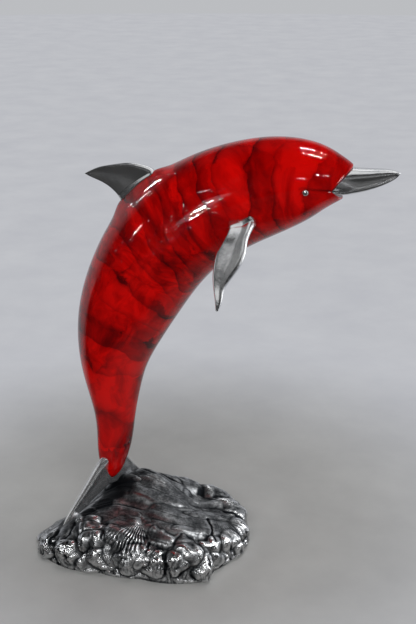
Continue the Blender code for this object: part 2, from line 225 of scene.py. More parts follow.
# %% [markdown]
# ## The mouth
#
# The front of the head ends in a wedge: one face under the brow, which the beak stands against, and one on
# top of the lower jaw. Cutting a fine skin with a Boolean would leave a sharp, ragged rim there, and the real
# enamel rolls over in a thick soft lip. So each line of the skin, from tail to nose, is followed to the place
# where it meets the wedge. The rows of the grid end just short of it, roll over in a small curve, and run
# flat across the wedge's face to the middle of the mouth's corner.

# %% The wedge of the mouth, and where each line of the skin meets it
MOUTH_CORNER = (0.4667, 0.6739)
BROW_LIP = (0.5082, 0.7173)
JAW_TIP = (0.4891, 0.6501)
mouth_corner = from_foot(*MOUTH_CORNER)
brow_slope = from_foot(*BROW_LIP) - mouth_corner
jaw_slope = from_foot(*JAW_TIP) - mouth_corner
brow_ahead = np.array((brow_slope[2], 0.0, -brow_slope[0])) / np.linalg.norm(brow_slope)
jaw_above = np.array((-jaw_slope[2], 0.0, jaw_slope[0])) / np.linalg.norm(jaw_slope)
HEAD_FROM = 0.80
HALVINGS = 40


def in_mouth(point):
    """How far a point is inside the wedge; below nought it's in the head."""
    return np.minimum((point - mouth_corner) @ brow_ahead, (point - mouth_corner) @ jaw_above)


def skin_end(angle):
    """The share of the way along at which the skin's line at this angle enters the wedge."""
    low, high = np.full(angle.shape, HEAD_FROM), np.ones(angle.shape)
    for _ in range(HALVINGS):
        middle = (low + high) / 2
        inside = in_mouth(body_skin(middle, angle)[0]) > 0
        low, high = np.where(inside, low, middle), np.where(inside, middle, high)
    return (low + high) / 2


trial = np.linspace(math.radians(60), math.radians(140), 1601)
CORNER_ANGLE = float(trial[np.argmin(skin_end(trial))])
print(f"the mouth's corner is {math.degrees(CORNER_ANGLE):.1f} degrees round from the back")

# %% Rows and turns of the body's grid: close together where the form is small
SPACING_AT = (0.0, 0.03, 0.10, 0.82, 0.88, 1.0)
SPACING = (0.0006, 0.0008, 0.0016, 0.0016, 0.0007, 0.0006)
BODY_TURNS_ABOVE = 56
BODY_TURNS_BELOW = 44
LIP_ROWS = 7
FACE_ROWS = 12
SPACING_STEPS = 4000
shares = np.linspace(0.0, 1.0, SPACING_STEPS + 1)
rows_so_far = np.cumsum(BODY_ARC / SPACING_STEPS / np.interp(shares, SPACING_AT, SPACING))
SKIN_ROWS = int(rows_so_far[-1])
row_share = np.interp(np.arange(SKIN_ROWS + 1) / SKIN_ROWS * rows_so_far[-1], rows_so_far, shares)
row_share[0] = 0.0
above = CORNER_ANGLE * np.linspace(0.0, 1.0, BODY_TURNS_ABOVE + 1)
below = CORNER_ANGLE + (math.pi - CORNER_ANGLE) * np.linspace(0.0, 1.0, BODY_TURNS_BELOW + 1)
half_turn = np.concatenate([above, below[1:]])
BODY_SIDES = 2 * (BODY_TURNS_ABOVE + BODY_TURNS_BELOW)
body_angles = np.concatenate([half_turn, 2 * math.pi - half_turn[-2:0:-1]])
print(f"{SKIN_ROWS} rows of skin by {BODY_SIDES} sides")

# %% [markdown]
# ## The mouth's line and the eye's hollow
#
# Behind the corner of the mouth a line is carved back towards the eye, and the eye's bead sits in a shallow
# hollow. Both are real grooves, so the skin is pressed in there, and how deep it went is kept in an attribute
# that the enamel reads to paint shade into them.

# %% The carved line and the hollow
MOUTH_LINE = [MOUTH_CORNER, (0.4557, 0.6760), (0.4427, 0.6781), (0.4297, 0.6799), (0.4204, 0.6833),
              (0.4148, 0.6846), (0.4074, 0.6829)]
LINE_DEPTH = 0.9 * MILLIMETRE
LINE_WIDTH = 1.0 * MILLIMETRE
EYE_PLACE = (0.4185, 0.6745)
EYE_RADIUS = 0.0032
HOLLOW_DEPTH = 0.9 * MILLIMETRE
HOLLOW_RADIUS = 3.9 * MILLIMETRE
SIDE_FROM = 6 * MILLIMETRE
SIDE_FADE = 4 * MILLIMETRE


def carved(point):
    """How deep a point is in the mouth's line, and in the eye's hollow, each from 0 to 1."""
    line = from_foot(*np.array(MOUTH_LINE).T)[:, (0, 2)]
    flat = point[:, (0, 2)]
    nearest = np.full(len(point), 1.0)
    fade = np.zeros(len(point))
    for i in range(len(line) - 1):
        run = line[i + 1] - line[i]
        along = np.clip((flat - line[i]) @ run / (run @ run), 0.0, 1.0)
        distance = np.linalg.norm(flat - line[i] - along[:, None] * run, axis=1)
        nearer = distance < nearest
        nearest[nearer] = distance[nearer]
        fade[nearer] = 1 - (i + along[nearer]) / (len(line) - 1)
    on_side = np.clip((np.abs(point[:, 1] - FOOT[1]) - SIDE_FROM) / SIDE_FADE, 0.0, 1.0)
    groove = np.exp(-(nearest / LINE_WIDTH)**2) * (0.35 + 0.65 * fade) * on_side
    eye = from_foot(*EYE_PLACE)[[0, 2]]
    ring = np.linalg.norm(flat - eye, axis=1) / HOLLOW_RADIUS
    hollow = np.exp(-ring**4) * on_side
    return groove, hollow


# %% [markdown]
# ## Laying out the veins
#
# The dark veins run across the body at uneven distances, as ink does when it's tipped over wet enamel. They
# belong to the body's own length and girth, so the material needs to know how far along the body each point
# is, as if the dolphin were unbent. One attribute holds that straightened place. Another counts the veins
# passed since the tail: it rises by one at every vein, so the material finds one wherever the count is whole.

# %% Veins: how far along the body each one crosses the back, the flank and the belly
VEINS = [
    (0.00, 0.00, 0.00), (0.080, 0.095, 0.110), (0.225, 0.190, 0.150), (0.290, 0.270, 0.260),
    (0.345, 0.330, 0.300), (0.400, 0.372, 0.355), (0.452, 0.425, 0.400), (0.505, 0.470, 0.440),
    (0.548, 0.520, 0.470), (0.590, 0.566, 0.520), (0.628, 0.610, 0.575), (0.672, 0.655, 0.640),
    (0.712, 0.700, 0.690), (0.752, 0.738, 0.742), (0.800, 0.790, 0.780), (0.850, 0.838, 0.826),
    (0.905, 0.900, 0.890), (1.00, 1.00, 1.00),
]


def veins_passed(share, angle):
    """The count of veins between the tail and this place, the same on both sides of the body."""
    table = np.array(VEINS)
    count = np.arange(len(table))
    back, flank, belly = (np.interp(share, table[:, side], count) for side in range(3))
    height = np.cos(angle)
    return np.where(height > 0, flank + (back - flank) * height, flank + (belly - flank) * -height)


# %% The body
LIP_AT_BROW = 2.6 * MILLIMETRE
LIP_AT_JAW = 1.3 * MILLIMETRE
LIP_AT_CORNER = 0.35 * MILLIMETRE
FULL_LIP_AT = 0.35
# How dark the painted shade is across the mouth's faces and in the eye's hollow
MOUTH_PAINTED_SHADE = 0.75
HOLLOW_PAINTED_SHADE = 0.8


def place_body(row, turn):
    """The skin's rows, then the rolled lip, then the flat faces of the mouth."""
    ends = skin_end(body_angles)
    edge = body_skin(ends, body_angles)[0]
    step = 1e-3
    speed = np.linalg.norm(edge - body_skin(ends - step, body_angles)[0], axis=1) / step
    over_corner = np.cos(body_angles) - math.cos(CORNER_ANGLE)
    widest = np.where(over_corner > 0, LIP_AT_BROW, LIP_AT_JAW)
    lip = LIP_AT_CORNER + (widest - LIP_AT_CORNER) * np.clip(np.abs(over_corner) / FULL_LIP_AT, 0.0, 1.0)
    middle = np.array((mouth_corner[0], FOOT[1], mouth_corner[2]))
    to_middle = middle - edge
    reach = np.linalg.norm(to_middle, axis=1)
    last_share = ends - lip / speed
    last = body_skin(last_share, body_angles)[0]
    roll = edge + to_middle * np.minimum(lip / reach, 0.5)[:, None]

    share = np.zeros(len(row))
    angle = body_angles[turn]
    on_skin = row <= SKIN_ROWS
    share[on_skin] = row_share[row[on_skin]] * last_share[turn[on_skin]]
    share[~on_skin] = ends[turn[~on_skin]]
    point, depth = body_skin(share, angle)

    rolled = (row > SKIN_ROWS) & (row <= SKIN_ROWS + LIP_ROWS)
    s = ((row[rolled] - SKIN_ROWS) / LIP_ROWS)[:, None]
    t = turn[rolled]
    point[rolled] = (1 - s)**2 * last[t] + 2 * s * (1 - s) * edge[t] + s**2 * roll[t]
    face = row > SKIN_ROWS + LIP_ROWS
    s = ((row[face] - SKIN_ROWS - LIP_ROWS) / FACE_ROWS)[:, None]
    t = turn[face]
    point[face] = roll[t] + (middle - roll[t]) * s

    groove, hollow = carved(point)
    groove[~on_skin] = 0.0
    hollow[~on_skin] = 0.0
    towards = from_foot(*body_line(share)[:, :2].T) - point
    towards /= np.maximum(np.linalg.norm(towards, axis=1), 1e-6)[:, None]
    point += towards * (groove * LINE_DEPTH + hollow * HOLLOW_DEPTH)[:, None]
    straight = np.stack([share * BODY_ARC, depth * np.cos(angle), depth * np.sin(angle)], axis=1)
    # Painted shade: how far the enamel is darkened in the mouth's line, the eye's hollow and across the
    # mouth's faces
    painted_shade = np.maximum(groove, hollow * HOLLOW_PAINTED_SHADE)
    painted_shade[face] = MOUTH_PAINTED_SHADE
    return point, {"straight": straight, "veins": veins_passed(share, angle), "painted_shade": painted_shade}


body = skin("dolphin_enamel_body", SKIN_ROWS + LIP_ROWS + FACE_ROWS, BODY_SIDES, place_body)
body_faces = [tuple(face.vertices) for face in body.data.polygons]
body_tree = BVHTree.FromPolygons([vertex.co for vertex in body.data.vertices], body_faces)

# %% [markdown]
# ## Fins, flippers and flukes
#
# These are cast blades: thick and round along the front edge, thinner along the back one, a little hollow on
# the faces, and swollen where they grow out of the body, as metal is when it's dressed up to an enamelled
# edge. One function makes them all from stations along the span that give both edges and a thickness. The
# stations are the solids' own, but the flippers' tips are a little fuller.

# %% A cast blade
FULLEST = 1.08
HOLLOW_AT = 0.42
HOLLOW_SPREAD = 0.24
BACK_RIM = 0.6


def blade(name, stations, rows, sides, rim=0.10, hollow=0.20, thin_back=0.42, collar=0.0, collar_reach=0.0):
    """A closed blade. thin_back thins it to the back edge, and collar is how far it swells at the body."""
    line = faired([(*front, *back, thick) for front, back, thick in stations])

    def place(row, turn):
        share = row / rows
        angle = 2 * math.pi * turn / sides
        here = line(share)
        front, back, thick = here[:, 0:3], here[:, 3:6], here[:, 6]
        step = 2e-3
        span = line(share + step)[:, :6] - line(share - step)[:, :6]
        spanwise = span[:, :3] + span[:, 3:]
        chord = back - front
        flat = np.cross(spanwise, chord)
        flat /= np.maximum(np.linalg.norm(flat, axis=1), 1e-9)[:, None]
        across = (1 - np.cos(angle)) / 2
        nose = np.sqrt(np.clip(1 - (1 - np.minimum(across / rim, 1.0))**2, 0.0, 1.0))
        tail = np.sqrt(np.clip(1 - (1 - np.minimum((1 - across) / (rim * BACK_RIM), 1.0))**2, 0.0, 1.0))
        face = FULLEST - thin_back * across - hollow * np.exp(-((across - HOLLOW_AT) / HOLLOW_SPREAD)**2)
        half = thick / 2 * nose * tail * face
        closed = (row == 0) | (row == rows)
        side = np.sign(np.sin(angle)) * (np.abs(np.sin(angle)) > 1e-9)
        point = front + chord * across[:, None] + flat * (half * side)[:, None]
        point[closed] = ((front + back) / 2)[closed]
        if collar:
            near = np.array([body_tree.find_nearest(spot)[3] for spot in point])
            swell = collar * np.clip(1 - near / (collar_reach * (0.6 + 1.2 * across)), 0.0, 1.0)
            swell[closed] = 0.0
            point += flat * (swell * side * nose * tail)[:, None]
        return point, {}

    return skin(name, rows, sides, place)


# %% The dorsal fin: front edge x, z and back edge x, z from the foot, and thickness share
FIN_THICKNESS = 0.011
FIN_STATIONS = [
    (0.118, 0.655, 0.048, 0.600, 1.10), (0.116, 0.676, 0.046, 0.614, 1.05),
    (0.108, 0.692, 0.037, 0.629, 1.00), (0.083, 0.7020, 0.026, 0.643, 0.86),
    (0.055, 0.7045, 0.012, 0.655, 0.68), (0.022, 0.7000, -0.006, 0.665, 0.46),
    (-0.010, 0.6925, -0.023, 0.672, 0.30), (-0.037, 0.6790, -0.037, 0.6790, 0.10),
]
fin = blade("polished_dorsal_fin", [
    (from_foot(front_x, front_z), from_foot(back_x, back_z), FIN_THICKNESS * thick)
    for front_x, front_z, back_x, back_z, thick in FIN_STATIONS
], rows=150, sides=96, collar=0.0022, collar_reach=0.0030)

# %% The flippers: front and back edges, each as x from the foot, distance out and height, and thickness share
FLIPPER_THICKNESS = 0.0085
FLIPPER_STATIONS = [
    (0.3180, 0.048, 0.632, 0.2760, 0.060, 0.600, 1.25), (0.3260, 0.075, 0.622, 0.2760, 0.085, 0.600, 1.20),
    (0.3220, 0.098, 0.606, 0.2760, 0.106, 0.599, 1.10), (0.3160, 0.122, 0.586, 0.2680, 0.127, 0.581, 1.00),
    (0.3155, 0.141, 0.568, 0.2595, 0.143, 0.566, 0.95), (0.3090, 0.161, 0.550, 0.2575, 0.161, 0.550, 0.85),
    (0.2950, 0.182, 0.531, 0.2590, 0.182, 0.531, 0.70), (0.2840, 0.203, 0.512, 0.2645, 0.203, 0.512, 0.52),
    (0.2830, 0.221, 0.497, 0.2700, 0.221, 0.497, 0.40), (0.2780, 0.236, 0.484, 0.2740, 0.236, 0.484, 0.14),
]
flippers = []
for side_name, side in (("right", -1), ("left", 1)):
    flippers.append(blade(f"polished_{side_name}_flipper", [
        (from_foot(front_x, front_up, side * front_out), from_foot(back_x, back_up, side * back_out),
         FLIPPER_THICKNESS * thick)
        for front_x, front_out, front_up, back_x, back_out, back_up, thick in FLIPPER_STATIONS
    ], rows=170, sides=96, rim=0.20, hollow=0.30, thin_back=-0.08, collar=0.0022, collar_reach=0.0056))

# %% The flukes: each lobe's distance out, front and back edges, and thickness share
FLUKE_THICKNESS = 0.009
FLUKE_TWIST = math.radians(27.0)
FLUKE_TIP_BACK = math.radians(8.0)
FLUKE_SET_BACK = 0.0050
LOBE_STATIONS = [
    (0.000, -0.052, 0.030, 1.10), (0.025, -0.047, 0.036, 1.05), (0.052, -0.023, 0.046, 0.90),
    (0.084, 0.012, 0.059, 0.72), (0.114, 0.043, 0.068, 0.50), (0.131, 0.063, 0.073, 0.34),
    (0.139, 0.0735, 0.0735, 0.10),
]
fluke_outward = np.array((math.sin(FLUKE_TWIST), math.cos(FLUKE_TWIST), 0.0)) * DOLPHIN_LENGTH
fluke_aft = np.array((-math.sin(FLUKE_TIP_BACK), 0.0, -math.cos(FLUKE_TIP_BACK))) * DOLPHIN_LENGTH
fluke_middle = from_foot(-FLUKE_SET_BACK, 0.0)
both_lobes = [(-out, front, back, thick) for out, front, back, thick in reversed(LOBE_STATIONS[1:])]
flukes = blade("polished_tail_flukes", [
    (fluke_middle + fluke_outward * out + fluke_aft * front,
     fluke_middle + fluke_outward * out + fluke_aft * back, FLUKE_THICKNESS * thick)
    for out, front, back, thick in both_lobes + LOBE_STATIONS
], rows=260, sides=80, rim=0.12)

# %% [markdown]
# ## The beak
#
# The upper beak is bare metal. Seen from the front it's domed on top, has a soft crease down each side, a
# rounded bead along the lower edge and a flat underside. A closed outline drawn once, from the ridge to the
# middle of the underside, is scaled by the stations. Two flat cuts then seat it against the brow and the jaw.

# %% Stations of the beak: x, top and low from the foot, half width, and how much wider it is above than below
BEAK_STATIONS = [
    (0.4560, 0.7050, 0.6640, 0.0370, -0.20), (0.4700, 0.7100, 0.6660, 0.0375, -0.20),
    (0.4880, 0.7130, 0.6625, 0.0345, -0.10), (0.5020, 0.7125, 0.6625, 0.0300, 0.05),
    (0.5140, 0.7118, 0.6640, 0.0265, 0.20), (0.5360, 0.7112, 0.6695, 0.0215, 0.24),
    (0.5620, 0.7115, 0.6790, 0.0165, 0.22), (0.5820, 0.7100, 0.6895, 0.0112, 0.16),
    (0.5930, 0.7070, 0.6985, 0.0060, 0.10), (0.5975, 0.7045, 0.7045, 0.0000, 0.00),
]
BEAK_OUTLINE = [
    (-0.38, 0.96), (0.00, 1.00), (0.38, 0.96), (0.66, 0.82), (0.86, 0.60), (0.95, 0.38), (0.93, 0.18),
    (0.93, -0.10), (0.98, -0.40), (1.05, -0.62), (1.06, -0.76), (0.94, -0.89), (0.56, -0.97), (0.00, -0.98),
    (-0.56, -0.97),
]
BEAK_ROWS = 150
BEAK_SIDES = 96
OUTLINE_STEPS = 4000
SEAM_GAP = 0.0003


def place_beak(row, turn):
    """Rings of the beak from inside the head to the tip."""
    x, top, low, width, widening = faired(BEAK_STATIONS)(row / BEAK_ROWS).T
    outline = faired([(across, up, 0.0) for across, up in BEAK_OUTLINE])
    half = BEAK_SIDES // 2
    mirrored = np.where(turn <= half, turn, BEAK_SIDES - turn) / half
    drawn = outline(np.linspace(0.0, 1.0, OUTLINE_STEPS + 1))
    start, stop = np.argmax(drawn[:, 1]), OUTLINE_STEPS - np.argmax(drawn[::-1, 0] > 0)
    at = drawn[np.rint(start + (stop - start) * mirrored).astype(int)]
    out = np.where(turn <= half, 1, -1) * at[:, 0] * (turn % half > 0)
    spread = width * out * (1 + widening * at[:, 1])
    point = from_foot(x, (top + low) / 2 + (top - low) / 2 * at[:, 1], spread)
    closed = (row == 0) | (row == BEAK_ROWS)
    point[closed] = from_foot(x, (top + low) / 2)[closed]
    return point, {}


beak = skin("polished_beak", BEAK_ROWS, BEAK_SIDES, place_beak)
bm = bmesh.new()
bm.from_mesh(beak.data)
for facing in (brow_ahead, jaw_above):
    every = list(bm.verts) + list(bm.edges) + list(bm.faces)
    seat = Vector(mouth_corner + facing * SEAM_GAP)
    bmesh.ops.bisect_plane(bm, geom=every, plane_co=seat, plane_no=Vector(facing), clear_inner=True)
    rim_edges = [edge for edge in bm.edges if edge.is_boundary]
    bmesh.ops.edgeloop_fill(bm, edges=rim_edges)
bmesh.ops.recalc_face_normals(bm, faces=bm.faces)
bm.to_mesh(beak.data)
bm.free()
beak.data.shade_smooth()
print("beak cut to its seat:", len(beak.data.vertices), "vertices")

# %% [markdown]
# ## The eyes
#
# Each eye is a small turned bead, sunk a little into its hollow.

# %% The eyes
EYE_OUT = -0.35
BEAD_SIDES = 40
eye_place = from_foot(*EYE_PLACE)
eye_share = np.linspace(0.7, 1.0, 3001)
eye_row = np.argmin(np.abs(from_foot(*body_line(eye_share)[:, :2].T)[:, 0] - eye_place[0]))
at_eye = body_line(eye_share[eye_row])
eye_height = (eye_place[2] - from_foot(*at_eye[:2])[2]) / DOLPHIN_LENGTH
eye_out = DOLPHIN_LENGTH * at_eye[2] * at_eye[3]
eye_out = eye_out * math.sqrt(1 - (eye_height / at_eye[2])**2) + EYE_OUT * EYE_RADIUS
eyes = []
for side_name, side in (("right", -1), ("left", 1)):
    bm = bmesh.new()
    bmesh.ops.create_uvsphere(bm, u_segments=BEAD_SIDES, v_segments=BEAD_SIDES // 2, radius=EYE_RADIUS)
    bmesh.ops.translate(bm, verts=bm.verts, vec=Vector(eye_place + np.array((0.0, side * eye_out, 0.0))))
    eyes.append(into_scene(f"polished_{side_name}_eye", bm))
print("eyes stand", round(eye_out * 1000, 1), "mm out from the middle plane")

# %% [markdown]
# ## The rock's broad form
#
# The rock is one casting with a flat underside, a steep lumpy side and a folded top. Its skin climbs from
# the outline to the middle of the top. The hills and lumps that the solids have come first, with
# the same values. The outward direction turns from level at the foot of the side to upright on top.

# %% Outline, hills and lumps of the rock, as shares of its half length, half depth and height
ROCK_OUTLINE = [
    (0.98, 0.10), (0.92, 0.50), (0.76, 0.84), (0.44, 0.98), (0.05, 0.96), (-0.32, 0.86), (-0.64, 0.52),
    (-0.84, 0.12), (-0.97, -0.32), (-0.84, -0.68), (-0.60, -0.88), (-0.25, -0.93), (0.12, -0.97),
    (0.44, -1.00), (0.70, -0.88), (0.75, -0.62), (0.90, -0.28),
]
ROCK_SHOULDER = 0.55
ROCK_RISE = 0.62
ROCK_PLATEAU = 0.60
ROCK_HILLS = [
    (-0.02, 0.54, 0.26, 0.26), (-0.337, 0.10, 0.08, 0.26), (-0.62, -0.30, 0.06, 0.20),
    (-0.16, 0.72, 0.06, 0.20), (0.10, -0.25, 0.14, 0.36), (0.47, 0.45, -0.14, 0.14),
    (0.84, 0.20, -0.10, 0.40), (-0.85, 0.20, -0.34, 0.34), (-0.34, 0.50, 0.17, 0.22),
    (-0.60, 0.62, -0.20, 0.26), (-0.98, -0.45, -0.22, 0.30),
]
ROCK_LUMPS = [
    (-0.84, -0.55, 0.26, 0.015, 0.005), (-0.78, -0.69, 0.17, 0.012, 0.006),
    (-0.56, -0.89, 0.26, 0.015, 0.008), (-0.32, -0.90, 0.20, 0.014, 0.007),
    (-0.36, -0.82, 0.47, 0.015, 0.007), (-0.43, -0.57, 0.61, 0.014, 0.005),
    (-0.07, -0.70, 0.62, 0.024, 0.005), (0.04, -0.96, 0.32, 0.017, 0.008),
    (0.30, -0.78, 0.58, 0.015, 0.006), (0.27, -0.99, 0.23, 0.013, 0.007),
    (0.44, -0.95, 0.32, 0.012, 0.006), (0.52, -0.82, 0.52, 0.019, 0.008),
    (0.69, -0.86, 0.24, 0.014, 0.007), (0.77, -0.53, 0.39, 0.014, 0.006),
    (0.79, -0.57, 0.18, 0.012, 0.006), (0.87, -0.28, 0.33, 0.014, 0.006),
    (0.91, -0.20, 0.15, 0.011, 0.005), (0.93, 0.10, 0.29, 0.016, 0.005),
    (0.80, 0.45, 0.39, 0.018, 0.005), (0.59, 0.78, 0.33, 0.020, 0.005),
    (0.27, 0.85, 0.36, 0.020, 0.005), (-0.07, 0.82, 0.39, 0.020, 0.005),
    (-0.39, 0.65, 0.27, 0.020, 0.005), (-0.66, 0.28, 0.18, 0.018, 0.004),
]
LUMP_CROWN = 0.95


def rock_reach(angle):
    """Distance from the rock's middle to its outline in a direction."""
    corners = np.array(ROCK_OUTLINE) * ROCK_HALF[:2]
    bearing = np.arctan2(corners[:, 1], corners[:, 0])
    order = np.argsort(bearing)
    return np.interp(angle, bearing[order], np.hypot(*corners.T)[order], period=2 * math.pi)


def rock_top(x, y):
    """Height of the broad form over a place."""
    height = np.full(np.shape(x), ROCK_PLATEAU)
    for hill_x, hill_y, rise, radius in ROCK_HILLS:
        aside = (x - hill_x * ROCK_HALF[0])**2 + (y - hill_y * ROCK_HALF[1])**2
        height += rise * np.exp(-aside / (radius * ROCK_HALF[1])**2 / 2)
    return height * ROCK_HEIGHT


def lump_rise(point):
    """How far the lumps swell the skin at a point; where two meet, the taller one shows."""
    tallest = np.zeros(len(point))
    for x, y, z, radius, height in ROCK_LUMPS:
        centre = np.array((x, y, z)) * ROCK_HALF
        nearness = 1 - (np.linalg.norm(point - centre, axis=1) / radius)**2
        tallest = np.maximum(tallest, height * np.maximum(nearness, 0.0)**LUMP_CROWN)
    return tallest


# %% [markdown]
# ## Relief from noise
#
# The mould's own roughness is worked out, not drawn: a smooth noise for swellings, its folded form for lumps
# with creases between them, and a way to push places about. All are functions of place, so the relief is the
# same at every run and has no seam.

# %% Smooth noise and creased lumps at a place


def scramble(cell, salt):
    """A number between 0 and 1 for each whole-numbered cell, always the same for the same cell."""
    mixed = cell[..., 0] * 374761393 + cell[..., 1] * 668265263
    mixed = mixed + cell[..., 2] * 2147483647 + salt * 1274126177
    mixed = (mixed ^ (mixed >> 13)) * 1103515245
    mixed = (mixed ^ (mixed >> 16)) & 0xFFFFFF
    return mixed / 0xFFFFFF


def smooth_noise(point, size, salt):
    """Soft swellings about size apart, from -1 to 1."""
    where = point / size
    low = np.floor(where).astype(np.int64)
    part = where - low
    part = part**3 * (part * (part * 6 - 15) + 10)
    total = np.zeros(len(point))
    for corner in np.ndindex(2, 2, 2):
        weight = np.prod(np.where(corner, part, 1 - part), axis=1)
        total += weight * scramble(low + corner, salt)
    return total * 2 - 1


def billows(point, size, salt):
    """Rounded swellings with creases where they meet, from 0 in a crease to 1 on a crown."""
    return np.clip(np.abs(smooth_noise(point, size, salt)) * 1.7, 0.0, 1.0)**0.65


def pushed(point, size, reach, salt):
    """The same places pushed about by noise, so whatever is read there looks poured and torn."""
    return point + reach * np.stack([smooth_noise(point, size, salt + k) for k in range(3)], axis=1)


# %% [markdown]
# ## The rock's own carving
#
# The side has fans of fine ribs, like a shell's: the deepest at the middle of the front, and fainter ones to
# the left and at both ends. A crack runs across the top of the front and down between the two large domes, a
# deep groove falls at the right, and the top flows in long folds away from the tail, with a few hollows that
# the finish darkens as painted shade. A thin lip runs along the foot of the front.

# %% Fans (middle, root, reach, ribs in a turn, depth), cracks, and hollows (centre, radius), in metres
FANS = [
    ((-0.004, -0.062, 0.041), (0.007, -0.040, 0.054), 0.021, 60, 0.0008),
    ((-0.096, -0.046, 0.020), (-0.084, -0.046, 0.010), 0.015, 36, 0.0006),
    ((-0.048, -0.052, 0.040), (-0.040, -0.084, 0.010), 0.020, 44, 0.0004),
    ((0.100, 0.004, 0.030), (0.082, 0.004, 0.040), 0.024, 50, 0.0004),
]
CRACKS = [
    [(0.020, -0.040, 0.050), (0.043, -0.059, 0.042), (0.051, -0.050, 0.044), (0.062, -0.050, 0.041),
     (0.076, -0.060, 0.032), (0.080, -0.066, 0.016)],
    [(0.043, -0.059, 0.042), (0.038, -0.074, 0.030), (0.040, -0.082, 0.010)],
    [(0.071, -0.007, 0.034), (0.078, -0.030, 0.032), (0.082, -0.049, 0.026), (0.084, -0.060, 0.008)],
    [(0.016, -0.060, 0.040), (0.021, -0.078, 0.026), (0.020, -0.084, 0.006)],
    [(-0.022, -0.052, 0.044), (-0.026, -0.072, 0.028), (-0.022, -0.078, 0.006)],
    [(-0.060, -0.044, 0.034), (-0.066, -0.060, 0.028), (-0.056, -0.076, 0.010)],
    [(-0.080, -0.046, 0.028), (-0.084, -0.062, 0.018), (-0.078, -0.066, 0.004)],
    [(0.094, -0.030, 0.034), (0.098, -0.030, 0.014), (0.096, -0.034, 0.004)],
    [(0.060, 0.010, 0.037), (0.082, 0.022, 0.034), (0.100, 0.020, 0.022)],
]
SHADED_HOLLOWS = [
    ((-0.030, 0.014, 0.047), 0.018), ((-0.042, -0.008, 0.043), 0.013), ((-0.053, -0.022, 0.038), 0.009),
    ((0.050, 0.048, 0.033), 0.0045), ((-0.010, 0.034, 0.052), 0.008),
]
HOLLOW_PRESS = 2.0 * MILLIMETRE
CRACK_WIDTH = 1.5 * MILLIMETRE
CRACK_DEPTH = 2.2 * MILLIMETRE
print(len(FANS), "fans,", len(CRACKS), "cracks and", len(SHADED_HOLLOWS), "hollows")

# %% What the fans, cracks and hollows do at a place


def fan_ribs(point, outward):
    """Ribs that spread from each fan's root, and how much each place belongs to a fan."""
    total, belongs = np.zeros(len(point)), np.zeros(len(point))
    for middle, root, reach, ribs, depth in FANS:
        middle, root = np.array(middle), np.array(root)
        near = np.exp(-(np.linalg.norm(point - middle, axis=1) / reach)**4)
        belongs = np.maximum(belongs, near)
        normal = outward[np.argmin(np.linalg.norm(point - middle, axis=1))]
        side = np.cross(normal, middle - root)
        side /= np.linalg.norm(side)
        up = np.cross(side, normal)
        spoke = point - root
        bearing = np.arctan2(spoke @ side, spoke @ up) + 0.07 * smooth_noise(point, 0.010, 5)
        strength = np.clip(smooth_noise(point, 0.007, 6) + 0.8, 0.0, 1.0)
        total += depth * near * np.cos(bearing * ribs) * strength
    return total, belongs


def crack_depth(point):
    """How deep the cracks cut at a point, from 0 to 1."""
    deepest = np.zeros(len(point))
    wandered = pushed(pushed(point, 0.012, 0.0035, 11), 0.004, 0.0009, 14)
    for crack in CRACKS:
        line = np.array(crack)
        for start, end in zip(line[:-1], line[1:]):
            run = end - start
            along = np.clip((wandered - start) @ run / (run @ run), 0.0, 1.0)
            distance = np.linalg.norm(wandered - start - along[:, None] * run, axis=1)
            deepest = np.maximum(deepest, np.exp(-(distance / CRACK_WIDTH)**2))
    return deepest


def hollow_depth(point):
    """How deep the hollows on top are at a point, from 0 to 1; the finish darkens them as painted shade."""
    deepest = np.zeros(len(point))
    where = pushed(point, 0.012, 0.003, 17)
    for centre, radius in SHADED_HOLLOWS:
        deepest = np.maximum(deepest, np.exp(-(np.linalg.norm(where - centre, axis=1) / radius)**4))
    return deepest


# %% The rock
ROCK_RINGS = 140
ROCK_SIDES = 640
FRONT_DETAIL = 0.35
CRAG_SIZE = 0.0230
LUMP_SIZE = 0.0095
STREAK_SIZE = 0.0034
CRAG_DEPTH = 0.0038
LUMP_DEPTH = 0.0010
STREAK_DEPTH = 0.0014
SWELL_HEIGHT = 0.0046
FOLD_HEIGHT = 0.0022
FOLD_LINE_DEPTH = 0.0004
FINE_HEIGHT = 0.0003
LIP_HEIGHT = 0.0012
LIP_AT = 0.0035
LIP_SPREAD = 0.0022
FRONT_FROM = -0.02
USUAL_BILLOW = 0.6
CALM_IN_FANS = 0.8
SMOOTHINGS = 16
HIGH_SCALE = 0.7 * MILLIMETRE
HIGH_RANGE = (-1.0, 1.6)


